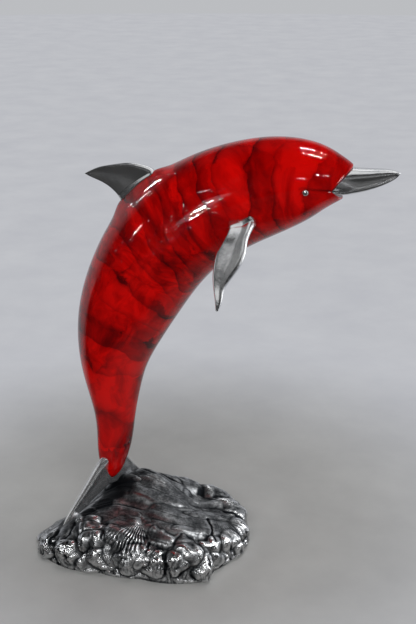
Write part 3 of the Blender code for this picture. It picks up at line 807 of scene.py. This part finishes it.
def place_rock(row, turn):
    """The underside's middle, then rings up the side and over the top."""
    trial_climb = np.linspace(0.0, math.pi / 2, 2001)
    reach = ROCK_HALF[0] * 0.9 * np.cos(trial_climb)**ROCK_SHOULDER
    height = ROCK_HEIGHT * 0.75 * np.sin(trial_climb)**ROCK_RISE
    arc = np.concatenate([[0.0], np.cumsum(np.hypot(np.diff(reach), np.diff(height)))])
    climb = np.interp(np.maximum(row - 1, 0) / (ROCK_RINGS - 1) * arc[-1], arc, trial_climb)
    plain = 2 * math.pi * turn / ROCK_SIDES
    angle = plain - FRONT_DETAIL * np.cos(plain)
    out = rock_reach(angle) * np.cos(climb)**ROCK_SHOULDER
    out[(row == ROCK_RINGS) | (row == 0)] = 0.0
    x, y = out * np.cos(angle), out * np.sin(angle)
    point = np.stack([x, y, rock_top(x, y) * np.sin(climb)**ROCK_RISE], axis=1)
    point[row == 0] = 0.0
    level = np.cos(climb)
    outward = np.stack([np.cos(angle) * level, np.sin(angle) * level, np.sin(climb)], axis=1)
    centre = row == ROCK_RINGS
    outward[centre] = (0.0, 0.0, 1.0)

    lumps = lump_rise(pushed(point, 0.010, 0.0055, 15))
    side = np.clip(1.45 - 1.6 * np.sin(climb), 0.12, 1.0)
    torn = pushed(point, 0.014, 0.006, 21)
    crags = CRAG_DEPTH * (billows(torn, CRAG_SIZE, 31) - USUAL_BILLOW)
    crags += LUMP_DEPTH * (billows(torn, LUMP_SIZE, 32) - USUAL_BILLOW)
    streaks = pushed(point * (1.0, 1.0, 0.45), 0.010, 0.006, 41)
    patch = np.clip(smooth_noise(point, 0.022, 45) * 2.2 + 0.5, 0.0, 1.0)
    streaks = STREAK_DEPTH * patch * (billows(streaks, STREAK_SIZE, 42) - USUAL_BILLOW)
    flow = np.stack([point[:, 0] * 0.30 - point[:, 1] * 0.12, point[:, 1], point[:, 2]], axis=1)
    flow[:, 1] += 0.010 * np.sin(point[:, 0] * 45)
    swell = smooth_noise(flow, 0.017, 51)
    folds = SWELL_HEIGHT * swell - FOLD_LINE_DEPTH * np.exp(-(smooth_noise(flow, 0.011, 52) / 0.10)**2)
    folds += FOLD_HEIGHT * (billows(pushed(flow, 0.012, 0.004, 55), 0.016, 53) - 0.5)
    folds *= np.clip(np.sin(climb) * 2.2 - 1.1, 0.0, 1.0)
    fine = smooth_noise(point, 0.0060, 61) * FINE_HEIGHT * side
    cracks = crack_depth(point)
    lip = LIP_HEIGHT * np.exp(-((point[:, 2] - LIP_AT) / LIP_SPREAD)**2) * (point[:, 1] < FRONT_FROM)
    ribs, ribbed = fan_ribs(point, outward)
    relief = lumps + side * (crags + streaks) * (1 - CALM_IN_FANS * ribbed) + folds + fine + ribs
    hollows = hollow_depth(point)
    relief += lip - cracks * CRACK_DEPTH - hollows * HOLLOW_PRESS
    foot_row = row <= 1
    relief[foot_row] = 0.0
    ease = np.clip((row - 1) / 3, 0.0, 1.0)
    point += outward * (relief * ease)[:, None]
    point[:, 2] = np.maximum(point[:, 2], 0.0)

    board = np.zeros((ROCK_RINGS + 1, ROCK_SIDES))
    board[row, turn] = relief
    soft = board.copy()
    for _ in range(SMOOTHINGS):
        around = np.roll(soft, 1, axis=1) + np.roll(soft, -1, axis=1)
        upper = np.vstack([soft[1:], soft[-1:]])
        lower = np.vstack([soft[:1], soft[:-1]])
        soft = (soft * 2 + around + upper + lower) / 6
    high = np.clip((board - soft)[row, turn] / HIGH_SCALE, *HIGH_RANGE)
    high[foot_row] = 0.0
    # The crack attribute carries the cracks' depth and the hollows' painted shade
    return point, {"high": high, "crack": np.maximum(cracks, hollows), "side": side}


rock = skin("cast_rock_base", ROCK_RINGS, ROCK_SIDES, place_rock)

# %% [markdown]
# ## Materials from nodes
#
# Every finish is a Principled shader fed by a few nodes. Small helpers keep the trees readable: one adds a
# node and joins its sockets, and the others are the few kinds of node that come up again and again. A number
# that is the same all over a surface goes straight onto the shader's own socket.

# %% Helpers for node trees


def feed(tree, made, sockets):
    """Fills a node's inputs, by name or number, with values or with other nodes' outputs."""
    for socket, value in sockets.items():
        if isinstance(value, bpy.types.NodeSocket):
            tree.links.new(value, made.inputs[socket])
        else:
            made.inputs[socket].default_value = value


def node(tree, kind, sockets=None, **settings):
    """Adds a node of a kind, with its settings and what its sockets get."""
    made = tree.nodes.new("ShaderNode" + kind)
    for setting, value in settings.items():
        setattr(made, setting, value)
    feed(tree, made, sockets or {})
    return made


def new_finish(name):
    """A material with a Principled shader; gives the material, its tree and the shader."""
    made = bpy.data.materials.new(name)
    made.use_nodes = True
    return made, made.node_tree, made.node_tree.nodes["Principled BSDF"]


def attribute(tree, name, output="Fac"):
    """What the vertices hold under a name."""
    return node(tree, "Attribute", attribute_name=name).outputs[output]


def place_on(tree):
    """The place on the piece, in metres."""
    return node(tree, "TexCoord").outputs["Object"]


def part_of(tree, vector, axis):
    """One number of a vector or of a colour."""
    return node(tree, "SeparateXYZ", {0: vector}).outputs[axis]


# %% Helpers for sums of numbers and of vectors


def sum_of(tree, operation, *values):
    """One Math node's result."""
    return node(tree, "Math", dict(enumerate(values)), operation=operation).outputs[0]


def product(tree, first, second):
    """Two numbers multiplied."""
    return sum_of(tree, "MULTIPLY", first, second)


def added(tree, base, value, share):
    """A base with a share of a value added."""
    return sum_of(tree, "MULTIPLY_ADD", value, share, base)


def swayed(tree, base, value, share):
    """A base moved up and down by a value whose middle is 0.5."""
    return added(tree, base, sum_of(tree, "SUBTRACT", value, 0.5), share)


def vector_sum(tree, operation, *values):
    """One Vector Math node's result."""
    return node(tree, "VectorMath", dict(enumerate(values)), operation=operation).outputs[0]


# %% Helpers for patterns, colours and bumps


def noise(tree, vector, scale, detail=2.0, roughness=0.5, distortion=0.0, output="Fac"):
    """A Noise node's grey level, or its colour."""
    sockets = {"Vector": vector, "Scale": scale, "Detail": detail, "Roughness": roughness,
               "Distortion": distortion}
    return node(tree, "TexNoise", sockets).outputs[output]


def cells(tree, vector, scale, feature="F1"):
    """A Voronoi node: cells round scattered points."""
    return node(tree, "TexVoronoi", {"Vector": vector, "Scale": scale}, feature=feature)


def ramp(tree, value, stops, spread="LINEAR"):
    """A Color Ramp's colour; stops are places and either grey levels or colours."""
    made = node(tree, "ValToRGB", {"Fac": value})
    made.color_ramp.interpolation = spread
    elements = made.color_ramp.elements
    while len(elements) < len(stops):
        elements.new(1.0)
    for element, (place, tone) in zip(elements, stops):
        element.position = place
        element.color = (tone, tone, tone, 1.0) if isinstance(tone, float) else (*tone, 1.0)
    return made.outputs["Color"]


def blend_colours(tree, share, first, second, way="MIX"):
    """A Mix node on colours."""
    sockets = {0: share, 6: first, 7: second}
    return node(tree, "Mix", sockets, data_type="RGBA", blend_type=way).outputs[2]


def bumped(tree, height, strength, depth):
    """A Bump node's normal."""
    return node(tree, "Bump", {"Strength": strength, "Distance": depth, "Height": height}).outputs["Normal"]


# %% [markdown]
# ## Marbled red enamel
#
# The enamel is poured in transparent layers over the metal. Ink is dropped between them and pushed with air,
# so each dark vein has one crisp edge, where the wave of ink stopped, and fades like smoke on its other side.
# The count of veins, bent by noise, gives that look directly: its fraction jumps at the crisp edge and then
# rises slowly. A second, looser family of veins comes from stretched cells, and is strong low on the body.
# The whole is under a clear, deep gloss coat.

# %% The enamel's colours, and how far along the body each place is
BRIGHT_RED = (0.72, 0.0030, 0.0020)
MIDDLE_RED = (0.40, 0.0008, 0.0008)
DEEP_RED = (0.15, 0.0003, 0.0008)
INK = (0.014, 0.0003, 0.0015, 1.0)
# The colour of the painted shade in the mouth, its line and the eye's hollow
PAINTED_SHADE_COLOUR = (0.012, 0.0006, 0.001, 1.0)
enamel, tree, shader = new_finish("marbled_red_enamel")
straight = attribute(tree, "straight", "Vector")
share = sum_of(tree, "DIVIDE", part_of(tree, straight, "X"), BODY_ARC)
print(f"enamel laid along {BODY_ARC * 1000:.0f} mm of body")

# %% The first veins: one crisp edge, and smoke behind it
bent = swayed(tree, attribute(tree, "veins"), noise(tree, straight, 15.0, 2.0, 0.45), 2.45)
bent = swayed(tree, bent, noise(tree, straight, 70.0, 4.0, 0.62), 0.30)
smoke = ramp(tree, sum_of(tree, "FRACT", bent), [
    (0.0, 1.0), (0.035, 0.78), (0.13, 0.52), (0.32, 0.24), (0.62, 0.02), (0.93, 0.0), (1.0, 0.60),
])
strength = ramp(tree, noise(tree, straight, 24.0, 3.0, 0.6), [(0.34, 0.22), (0.50, 0.72), (0.64, 1.0)])
tail_less = ramp(tree, share, [(0.16, 0.45), (0.50, 0.82), (0.80, 1.0), (0.90, 0.55)])
first_veins = product(tree, product(tree, smoke, strength), tail_less)
print(len(VEINS) - 2, "first veins, with", len(tree.nodes), "nodes so far")

# %% The second veins: borders of stretched cells, which fade to one side
CELL_SCALE = 22.8
shift = noise(tree, straight, 30.0, 4.0, 0.62, output="Color")
shift = vector_sum(tree, "SUBTRACT", shift, (0.5, 0.5, 0.5))
shift = vector_sum(tree, "MULTIPLY", shift, (0.045, 0.045, 0.045))
stretched = vector_sum(tree, "ADD", straight, shift)
stretched = vector_sum(tree, "MULTIPLY", stretched, (1.0, 0.62, 0.62))
cell = cells(tree, stretched, CELL_SCALE)
border = cells(tree, stretched, CELL_SCALE, "DISTANCE_TO_EDGE").outputs["Distance"]
inward = vector_sum(tree, "SUBTRACT", stretched, cell.outputs["Position"])
wide = sum_of(tree, "MULTIPLY_ADD", part_of(tree, inward, "X"), 16.0, 0.16)
wide = sum_of(tree, "MAXIMUM", wide, 0.03)
fade = product(tree, sum_of(tree, "DIVIDE", border, wide), -2.0)
fade = sum_of(tree, "EXPONENT", fade)
low_down = ramp(tree, share, [(0.05, 0.80), (0.40, 0.85), (0.60, 0.45), (0.90, 0.25)])
patches = ramp(tree, noise(tree, straight, 22.0, 1.0), [(0.42, 0.05), (0.60, 1.0)])
second_veins = product(tree, product(tree, fade, low_down), patches)
second_veins = sum_of(tree, "MINIMUM", second_veins, 0.62)
print(f"second veins about {1000 / CELL_SCALE:.0f} mm apart")

# %% The reds, from deep to bright, with the ink and the painted shade over them
own_tone = node(tree, "TexWhiteNoise", {"W": sum_of(tree, "FLOOR", bent)}, noise_dimensions="1D")
round_stretch = ramp(tree, share, [(0.50, 0.95), (0.66, 0.45)])
long_stretch = ramp(tree, share, [(0.50, 0.66), (0.66, 1.0)])
stretch = node(tree, "CombineXYZ", {0: long_stretch, 1: round_stretch, 2: round_stretch}).outputs[0]
clouds = noise(tree, vector_sum(tree, "MULTIPLY", straight, stretch), 46.0, 5.0, 0.58, 0.9)
clouds = swayed(tree, clouds, own_tone.outputs["Value"], 0.18)
clouds = swayed(tree, clouds, part_of(tree, cell.outputs["Color"], "X"), 0.16)
lighter_ends = ramp(tree, share, [(0.20, 0.11), (0.45, 0.0), (0.80, 0.0), (0.90, 0.17)])
clouds = sum_of(tree, "ADD", clouds, lighter_ends)
reds = ramp(tree, clouds, [(0.28, DEEP_RED), (0.50, MIDDLE_RED), (0.70, BRIGHT_RED)])
veins = sum_of(tree, "MINIMUM", sum_of(tree, "ADD", first_veins, second_veins), 1.0)
inked = blend_colours(tree, product(tree, veins, 0.89), reds, INK)
# Painted shade: the enamel goes near black in the mouth's line, the eye's hollow and across the mouth's faces
inked = blend_colours(tree, product(tree, attribute(tree, "painted_shade"), 0.9), inked, PAINTED_SHADE_COLOUR)
print("reds and ink take it to", len(tree.nodes), "nodes")

# %% The clear coat: slow swells, orange peel and specks of dust, all fainter on the head
place = place_on(tree)
rough_patch = ramp(tree, share, [(0.76, 1.0), (0.86, 0.12)])
peel = product(tree, noise(tree, place, 260.0), product(tree, rough_patch, 0.24))
height = added(tree, peel, noise(tree, place, 40.0, 1.0), 0.9)
dust = cells(tree, place, 430.0)
lucky = sum_of(tree, "GREATER_THAN", part_of(tree, dust.outputs["Color"], "X"), 0.55)
specks = ramp(tree, dust.outputs["Distance"], [(0.0, 1.0), (0.42, 0.0)], "EASE")
specks = product(tree, product(tree, specks, lucky), rough_patch)
height = added(tree, height, specks, 0.9)
feed(tree, shader, {
    "Base Color": inked, "Roughness": 0.35, "Specular IOR Level": 0.0, "Coat Weight": 1.0,
    "Coat Roughness": 0.012, "Coat IOR": 1.48, "Coat Normal": bumped(tree, height, 0.30, 0.0005),
})
print("enamel made of", len(tree.nodes), "nodes")

# %% [markdown]
# ## Polished aluminium
#
# Cast aluminium is filed, sanded and buffed by hand. It's bright, but never quite even: the buffing wheel
# leaves soft waves, hair-fine scratches, and clouds where it pressed less. The wheel hardly gets in between
# the tail and the rock, so the flukes keep a duller skin.

# %% The polished metal


def buffed(name, metallic):
    """Buffed aluminium; the less metallic, the duller."""
    made, tree, shader = new_finish(name)
    place = place_on(tree)
    clouds = noise(tree, place, 60.0, 4.0, 0.6)
    scratch_place = vector_sum(tree, "MULTIPLY", place, (1.0, 1.0, 6.0))
    scratches = noise(tree, scratch_place, 420.0, 3.0, 0.7)
    gloss = sum_of(tree, "MULTIPLY_ADD", scratches, 0.16, 0.06)
    height = added(tree, scratches, noise(tree, place, 70.0), 4.0)
    feed(tree, shader, {
        "Base Color": ramp(tree, clouds, [(0.3, (0.66, 0.67, 0.69)), (0.7, (0.83, 0.835, 0.84))]),
        "Metallic": metallic, "Roughness": added(tree, gloss, clouds, 0.10),
        "Normal": bumped(tree, height, 0.22, 0.0004),
    })
    print(name, "made of", len(tree.nodes), "nodes")
    return made


metal = buffed("buffed_aluminium", 0.965)
duller_metal = buffed("duller_aluminium", 0.80)

# %% [markdown]
# ## Blackened and rubbed casting
#
# The rock is dipped in a black patina and then rubbed back, so its high places are bright and every crevice
# stays dark. The relief left attributes that say how high each point stands over its surroundings, how deep
# it is in a crack or hollow, and how far it is on the side, which is made brighter than the top. The
# material turns them into bright or black, broken up by noise, and paints the hollows dark as shade.

# %% The rubbed rock
patina, tree, shader = new_finish("rubbed_black_casting")
place = place_on(tree)
beside = attribute(tree, "side")
grain = noise(tree, place, 420.0, 4.0, 0.65)
blots = noise(tree, place, 70.0, 3.0, 0.6)
rub = sum_of(tree, "MULTIPLY_ADD", attribute(tree, "high"), 0.36, 0.34)
# The side is made brighter than the top
rub = added(tree, rub, beside, 0.24)
# Cracks stay black with patina; the hollows, held in the same attribute, are darkened as painted shade
rub = added(tree, rub, attribute(tree, "crack"), -0.45)
rub = swayed(tree, rub, grain, 0.40)
rub = swayed(tree, rub, blots, sum_of(tree, "MULTIPLY_ADD", beside, 0.35, 0.75))
tone = ramp(tree, rub, [
    (0.10, (0.014, 0.016, 0.019)), (0.34, (0.11, 0.115, 0.12)), (0.56, (0.42, 0.43, 0.44)),
    (0.82, (0.92, 0.93, 0.94)),
])
gloss = ramp(tree, rub, [(0.15, 0.50), (0.40, 0.34), (0.72, 0.12)])
gloss = added(tree, sum_of(tree, "ADD", gloss, 0.10), beside, -0.10)
pits = cells(tree, place, 620.0).outputs["Distance"]
height = added(tree, pits, grain, 1.6)
press = sum_of(tree, "MULTIPLY_ADD", beside, 0.50, 0.08)
feed(tree, shader, {
    "Base Color": tone, "Metallic": 1.0, "Roughness": gloss,
    "Normal": bumped(tree, height, press, 0.0004),
})
print("rubbed casting made of", len(tree.nodes), "nodes")

# %% Finishes, bodies and the solids that the pieces stand for
DRESSED = [
    (body, enamel, "dolphin_body", "red_enamel"), (fin, metal, "dorsal_fin", "polished_aluminium"),
    (flippers[0], metal, "right_flipper", "polished_aluminium"),
    (flippers[1], metal, "left_flipper", "polished_aluminium"),
    (flukes, duller_metal, "tail_flukes", "polished_aluminium"), (beak, metal, "beak", "polished_aluminium"),
    (eyes[0], metal, "right_eye", "polished_aluminium"), (eyes[1], metal, "left_eye", "polished_aluminium"),
    (rock, patina, "rock_base", "blackened_aluminium"),
]
for piece, finish_of_piece, solid, slot in DRESSED:
    piece.data.materials.append(finish_of_piece)
    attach(piece, "root")
    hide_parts(solid)
print(len(DRESSED), "pieces dressed")

# %% [markdown]
# ## The floor, the room and the lights
#
# The floor is a wide pale slab of plaster. Far off it glows, so it runs into the backdrop. Mirrored in the
# metal it's dim, but for what lies close to the rock or behind it. The enamel and the metal show mostly what
# they reflect, so the room matters as much as the lamps: it's pale behind the dolphin and dim in front of it,
# which gives the metal its dark faces with bright rims. Two soft lamps light everything. Each of the others
# is only mirrored, and light linking shows it to one kind of piece: the enamel, the bare metal, the rock or
# the eyes. Long thin ones overhead draw the crisp double lines on the head.

# %% The floor
FLOOR_RADIUS = 6.0
bm = bmesh.new()
bmesh.ops.create_circle(bm, cap_ends=True, radius=FLOOR_RADIUS, segments=96)
floor = into_scene("pale_floor", bm, smooth=False)
plaster, tree, shader = new_finish("pale_plaster")
place = place_on(tree)
mottle = noise(tree, place, 9.0, 5.0, 0.6)
tone = ramp(tree, mottle, [(0.3, (0.52, 0.52, 0.51)), (0.7, (0.61, 0.61, 0.595))])
away = node(tree, "VectorMath", {0: place, 1: (0.02, 0.06, 0.0)}, operation="DISTANCE").outputs["Value"]
near = ramp(tree, away, [(0.13, 0.8), (0.32, 0.06)])
to_back = ramp(tree, part_of(tree, place, "Y"), [(0.00, 0.0), (0.16, 1.0)])
dim = blend_colours(tree, 1.0, near, to_back, "LIGHTEN")
mirrored = node(tree, "LightPath").outputs["Is Glossy Ray"]
dimmed = blend_colours(tree, 1.0, tone, dim, "MULTIPLY")
feed(tree, shader, {"Base Color": blend_colours(tree, mirrored, tone, dimmed), "Roughness": 0.75})
haze = ramp(tree, mottle, [(0.3, (0.485, 0.495, 0.530)), (0.7, (0.530, 0.540, 0.570))])
glow = node(tree, "Emission", {"Color": haze, "Strength": 1.0}).outputs[0]
far_off = ramp(tree, away, [(0.14, 0.0), (0.52, 1.0)], "EASE")
shown = node(tree, "LightPath").outputs["Is Camera Ray"]
shown = sum_of(tree, "MAXIMUM", shown, product(tree, to_back, mirrored))
slab = node(tree, "MixShader", {0: product(tree, far_off, shown), 1: shader.outputs[0], 2: glow})
tree.links.new(slab.outputs[0], tree.nodes["Material Output"].inputs["Surface"])
floor.data.materials.append(plaster)
print("plaster made of", len(tree.nodes), "nodes")

# %% The room
world = bpy.data.worlds.new("pale_room")
bpy.context.scene.world = world
world.use_nodes = True
tree = world.node_tree
direction = node(tree, "TexCoord").outputs["Generated"]
to_back = sum_of(tree, "MULTIPLY_ADD", part_of(tree, direction, "Y"), 0.5, 0.5)
behind = ramp(tree, to_back, [(0.46, 0.02), (0.62, 0.50)])
ceiling = ramp(tree, part_of(tree, direction, "Z"), [(0.36, 1.0), (0.66, 0.06)])
room = blend_colours(tree, 1.0, behind, ceiling, "MULTIPLY")
room = blend_colours(tree, 1.0, room, (0.96, 0.98, 1.03, 1.0), "MULTIPLY")
background = tree.nodes["Background"]
tree.links.new(room, background.inputs["Color"])
backdrop = node(tree, "Background", {"Color": (0.50, 0.51, 0.53, 1.0), "Strength": 1.0})
seen = node(tree, "LightPath").outputs["Is Camera Ray"]
mixed = node(tree, "MixShader", {0: seen, 1: background.outputs[0], 2: backdrop.outputs[0]})
tree.links.new(mixed.outputs[0], tree.nodes["World Output"].inputs["Surface"])
bpy.context.scene.view_settings.view_transform = "Standard"
print("room and backdrop made of", len(tree.nodes), "nodes")

# %% Which pieces each kind of lamp is shown to
TARGET = Vector((0.057, 0.066, 0.235))
shown_to = {}
for job, pieces in (("gleam", [body]), ("metal", [fin, *flippers, flukes, beak, *eyes]), ("rock", [rock]),
                    ("eye", eyes)):
    shown_to[job] = bpy.data.collections.new("shown_to_" + job)
    for piece in pieces:
        shown_to[job].objects.link(piece)
print("lamps are shown by kind:", ", ".join(shown_to))

# %% A lamp between two directions


def towards(azimuth, height_angle):
    """The direction with these two angles, in degrees; azimuth 0 is the right side of the dolphin."""
    a, e = math.radians(azimuth), math.radians(height_angle)
    return Vector((math.sin(a) * math.cos(e), -math.cos(a) * math.cos(e), math.sin(e)))


def lamp(name, job, start, end, width, shine, anchor=TARGET, distance=2.4):
    """A long lamp between two directions from its anchor. Fills only light; others are only mirrored."""
    first, last = (anchor + towards(*ends) * distance for ends in (start, end))
    length = (last - first).length
    light = bpy.data.lights.new(name, "AREA")
    light.shape = "RECTANGLE"
    light.size, light.size_y = width, length
    light.energy = shine * math.pi * width * length
    lit = bpy.data.objects.new(name, light)
    lit.location = (first + last) / 2
    back = (lit.location - anchor).normalized()
    side = (last - first).normalized().cross(back).normalized()
    lit.rotation_euler = Matrix((side, back.cross(side), back)).transposed().to_euler()
    lit.visible_camera = False
    lit.visible_glossy = job != "fill"
    lit.visible_diffuse = job == "fill"
    lit.light_linking.receiver_collection = shown_to.get(job)
    bpy.context.scene.collection.objects.link(lit)


# %% The lamps: name, where they start and end in degrees, width, shine, and what they are aimed from
HEAD = Vector((0.168, 0.001, 0.422))
SHOULDER = Vector((0.064, -0.030, 0.368))
SADDLE = Vector((0.011, -0.003, 0.381))
TAIL = Vector((0.030, 0.000, 0.220))
BEAK = Vector((0.235, -0.005, 0.398))
LAMPS = {
    "fill": [
        ("soft_fill_front", (5, 2), (5, 46), 1.6, 2.8, TARGET, 2.0),
        ("soft_fill_above", (150, 52), (150, 98), 1.6, 2.0, TARGET, 2.2),
    ],
    "gleam": [
        ("window", (-13.2, 2.0), (-13, 4.6), 0.09, 500, SHOULDER),
        ("window_pane", (-12.5, 8.2), (-12, 9.2), 0.04, 300, SHOULDER),
        ("window_corner", (-10.5, -5.5), (-10, -4.5), 0.04, 300, SHOULDER),
        ("window_glow", (-14, -4), (-12, 13), 0.34, 1.2, SHOULDER),
        ("window_line", (-30, 29), (-23, 28), 0.012, 40, SHOULDER),
        ("far_window", (-58, 10), (-57, 16), 0.04, 90, SHOULDER),
        ("low_back_glow", (106, -19), (142, -19), 0.34, 1.2, TAIL, 0.55),
        ("tube_a", (160, 74), (114, 56), 0.014, 500, HEAD),
        ("tube_b", (72, 77), (78, 56), 0.014, 500, HEAD),
        ("tube_c", (-116, 19), (-121, 35), 0.025, 160, SADDLE),
        ("tube_d", (-107, 24), (-109, 33), 0.014, 120, SADDLE),
        ("spark_a", (39, 15), (41, 12), 0.04, 160, HEAD),
        ("spark_b", (45, 11), (50, 8), 0.012, 100, HEAD),
        ("spark_c", (23, 12), (29, 9), 0.012, 100, HEAD),
        ("lip_window", (60, -20), (74, -6), 0.06, 80, HEAD, 1.0),
    ],
    "metal": [
        ("sky_on_metal", (100, 52), (-80, 85), 1.5, 0.80, TARGET, 2.0),
        ("pale_sky_on_metal", (-80, 62), (-80, 88), 1.2, 0.25, TARGET, 2.0),
        ("rim_on_metal", (126, -6), (126, 30), 1.2, 1.8, TARGET, 1.6),
        ("back_on_metal", (134, 42), (198, 42), 0.9, 1.1),
        ("side_on_metal", (82, 18), (82, 38), 0.5, 1.2, TARGET, 2.0),
        ("left_on_metal", (-80, -4), (-80, 45), 0.9, 0.6, TARGET, 2.0),
        ("room_on_metal", (10, -22), (10, 42), 3.0, 0.09, TARGET, 2.6),
        ("low_on_metal", (-6, -12), (50, -12), 0.16, 0.20, TARGET, 1.0),
        ("bead_on_metal", (0, -3), (56, -3), 0.020, 2.0, BEAK, 0.8),
    ],
    "eye": [
        ("eye_window", (0, 34), (0, 50), 0.6, 14, HEAD),
    ],
    "rock": [
        ("room_on_rock", (10, -10), (10, 42), 3.0, 0.34, TARGET, 2.6),
        ("sky_on_rock", (60, 60), (-120, 75), 1.4, 0.12, TARGET, 2.0),
        ("back_window_on_rock", (150, 46), (205, 46), 0.30, 2.2, TARGET, 2.0),
        ("front_window_on_rock", (-6, 24), (2, 36), 0.22, 9, TARGET, 2.0),
        ("right_window_on_rock", (96, 8), (96, 62), 0.9, 4.0, TARGET, 2.0),
        ("left_window_on_rock", (-50, 34), (-36, 44), 0.24, 12, TARGET, 2.0),
        ("front_spark_on_rock", (4, 44), (10, 50), 0.14, 14, TARGET, 2.0),
        ("right_spark_on_rock", (48, 30), (54, 36), 0.14, 16, TARGET, 2.0),
    ],
}
for job, rows in LAMPS.items():
    for name, *measures in rows:
        lamp(name, job, *measures)
    print(len(rows), "lamps for", job)

# %% The camera
CAMERA_AZIMUTH = 10.0
CAMERA_HEIGHT_ANGLE = 20.0
CAMERA_DISTANCE = 1.17
CAMERA_LENS = 65.0
camera = bpy.data.objects.new("camera", bpy.data.cameras.new("camera"))
back = towards(CAMERA_AZIMUTH, CAMERA_HEIGHT_ANGLE)
camera.location = TARGET + back * CAMERA_DISTANCE
camera.rotation_euler = back.to_track_quat("Z", "Y").to_euler()
camera.data.lens = CAMERA_LENS
camera.data.sensor_width = 36.0
bpy.context.scene.collection.objects.link(camera)
bpy.context.scene.camera = camera
print("camera at", tuple(round(value, 3) for value in camera.location))
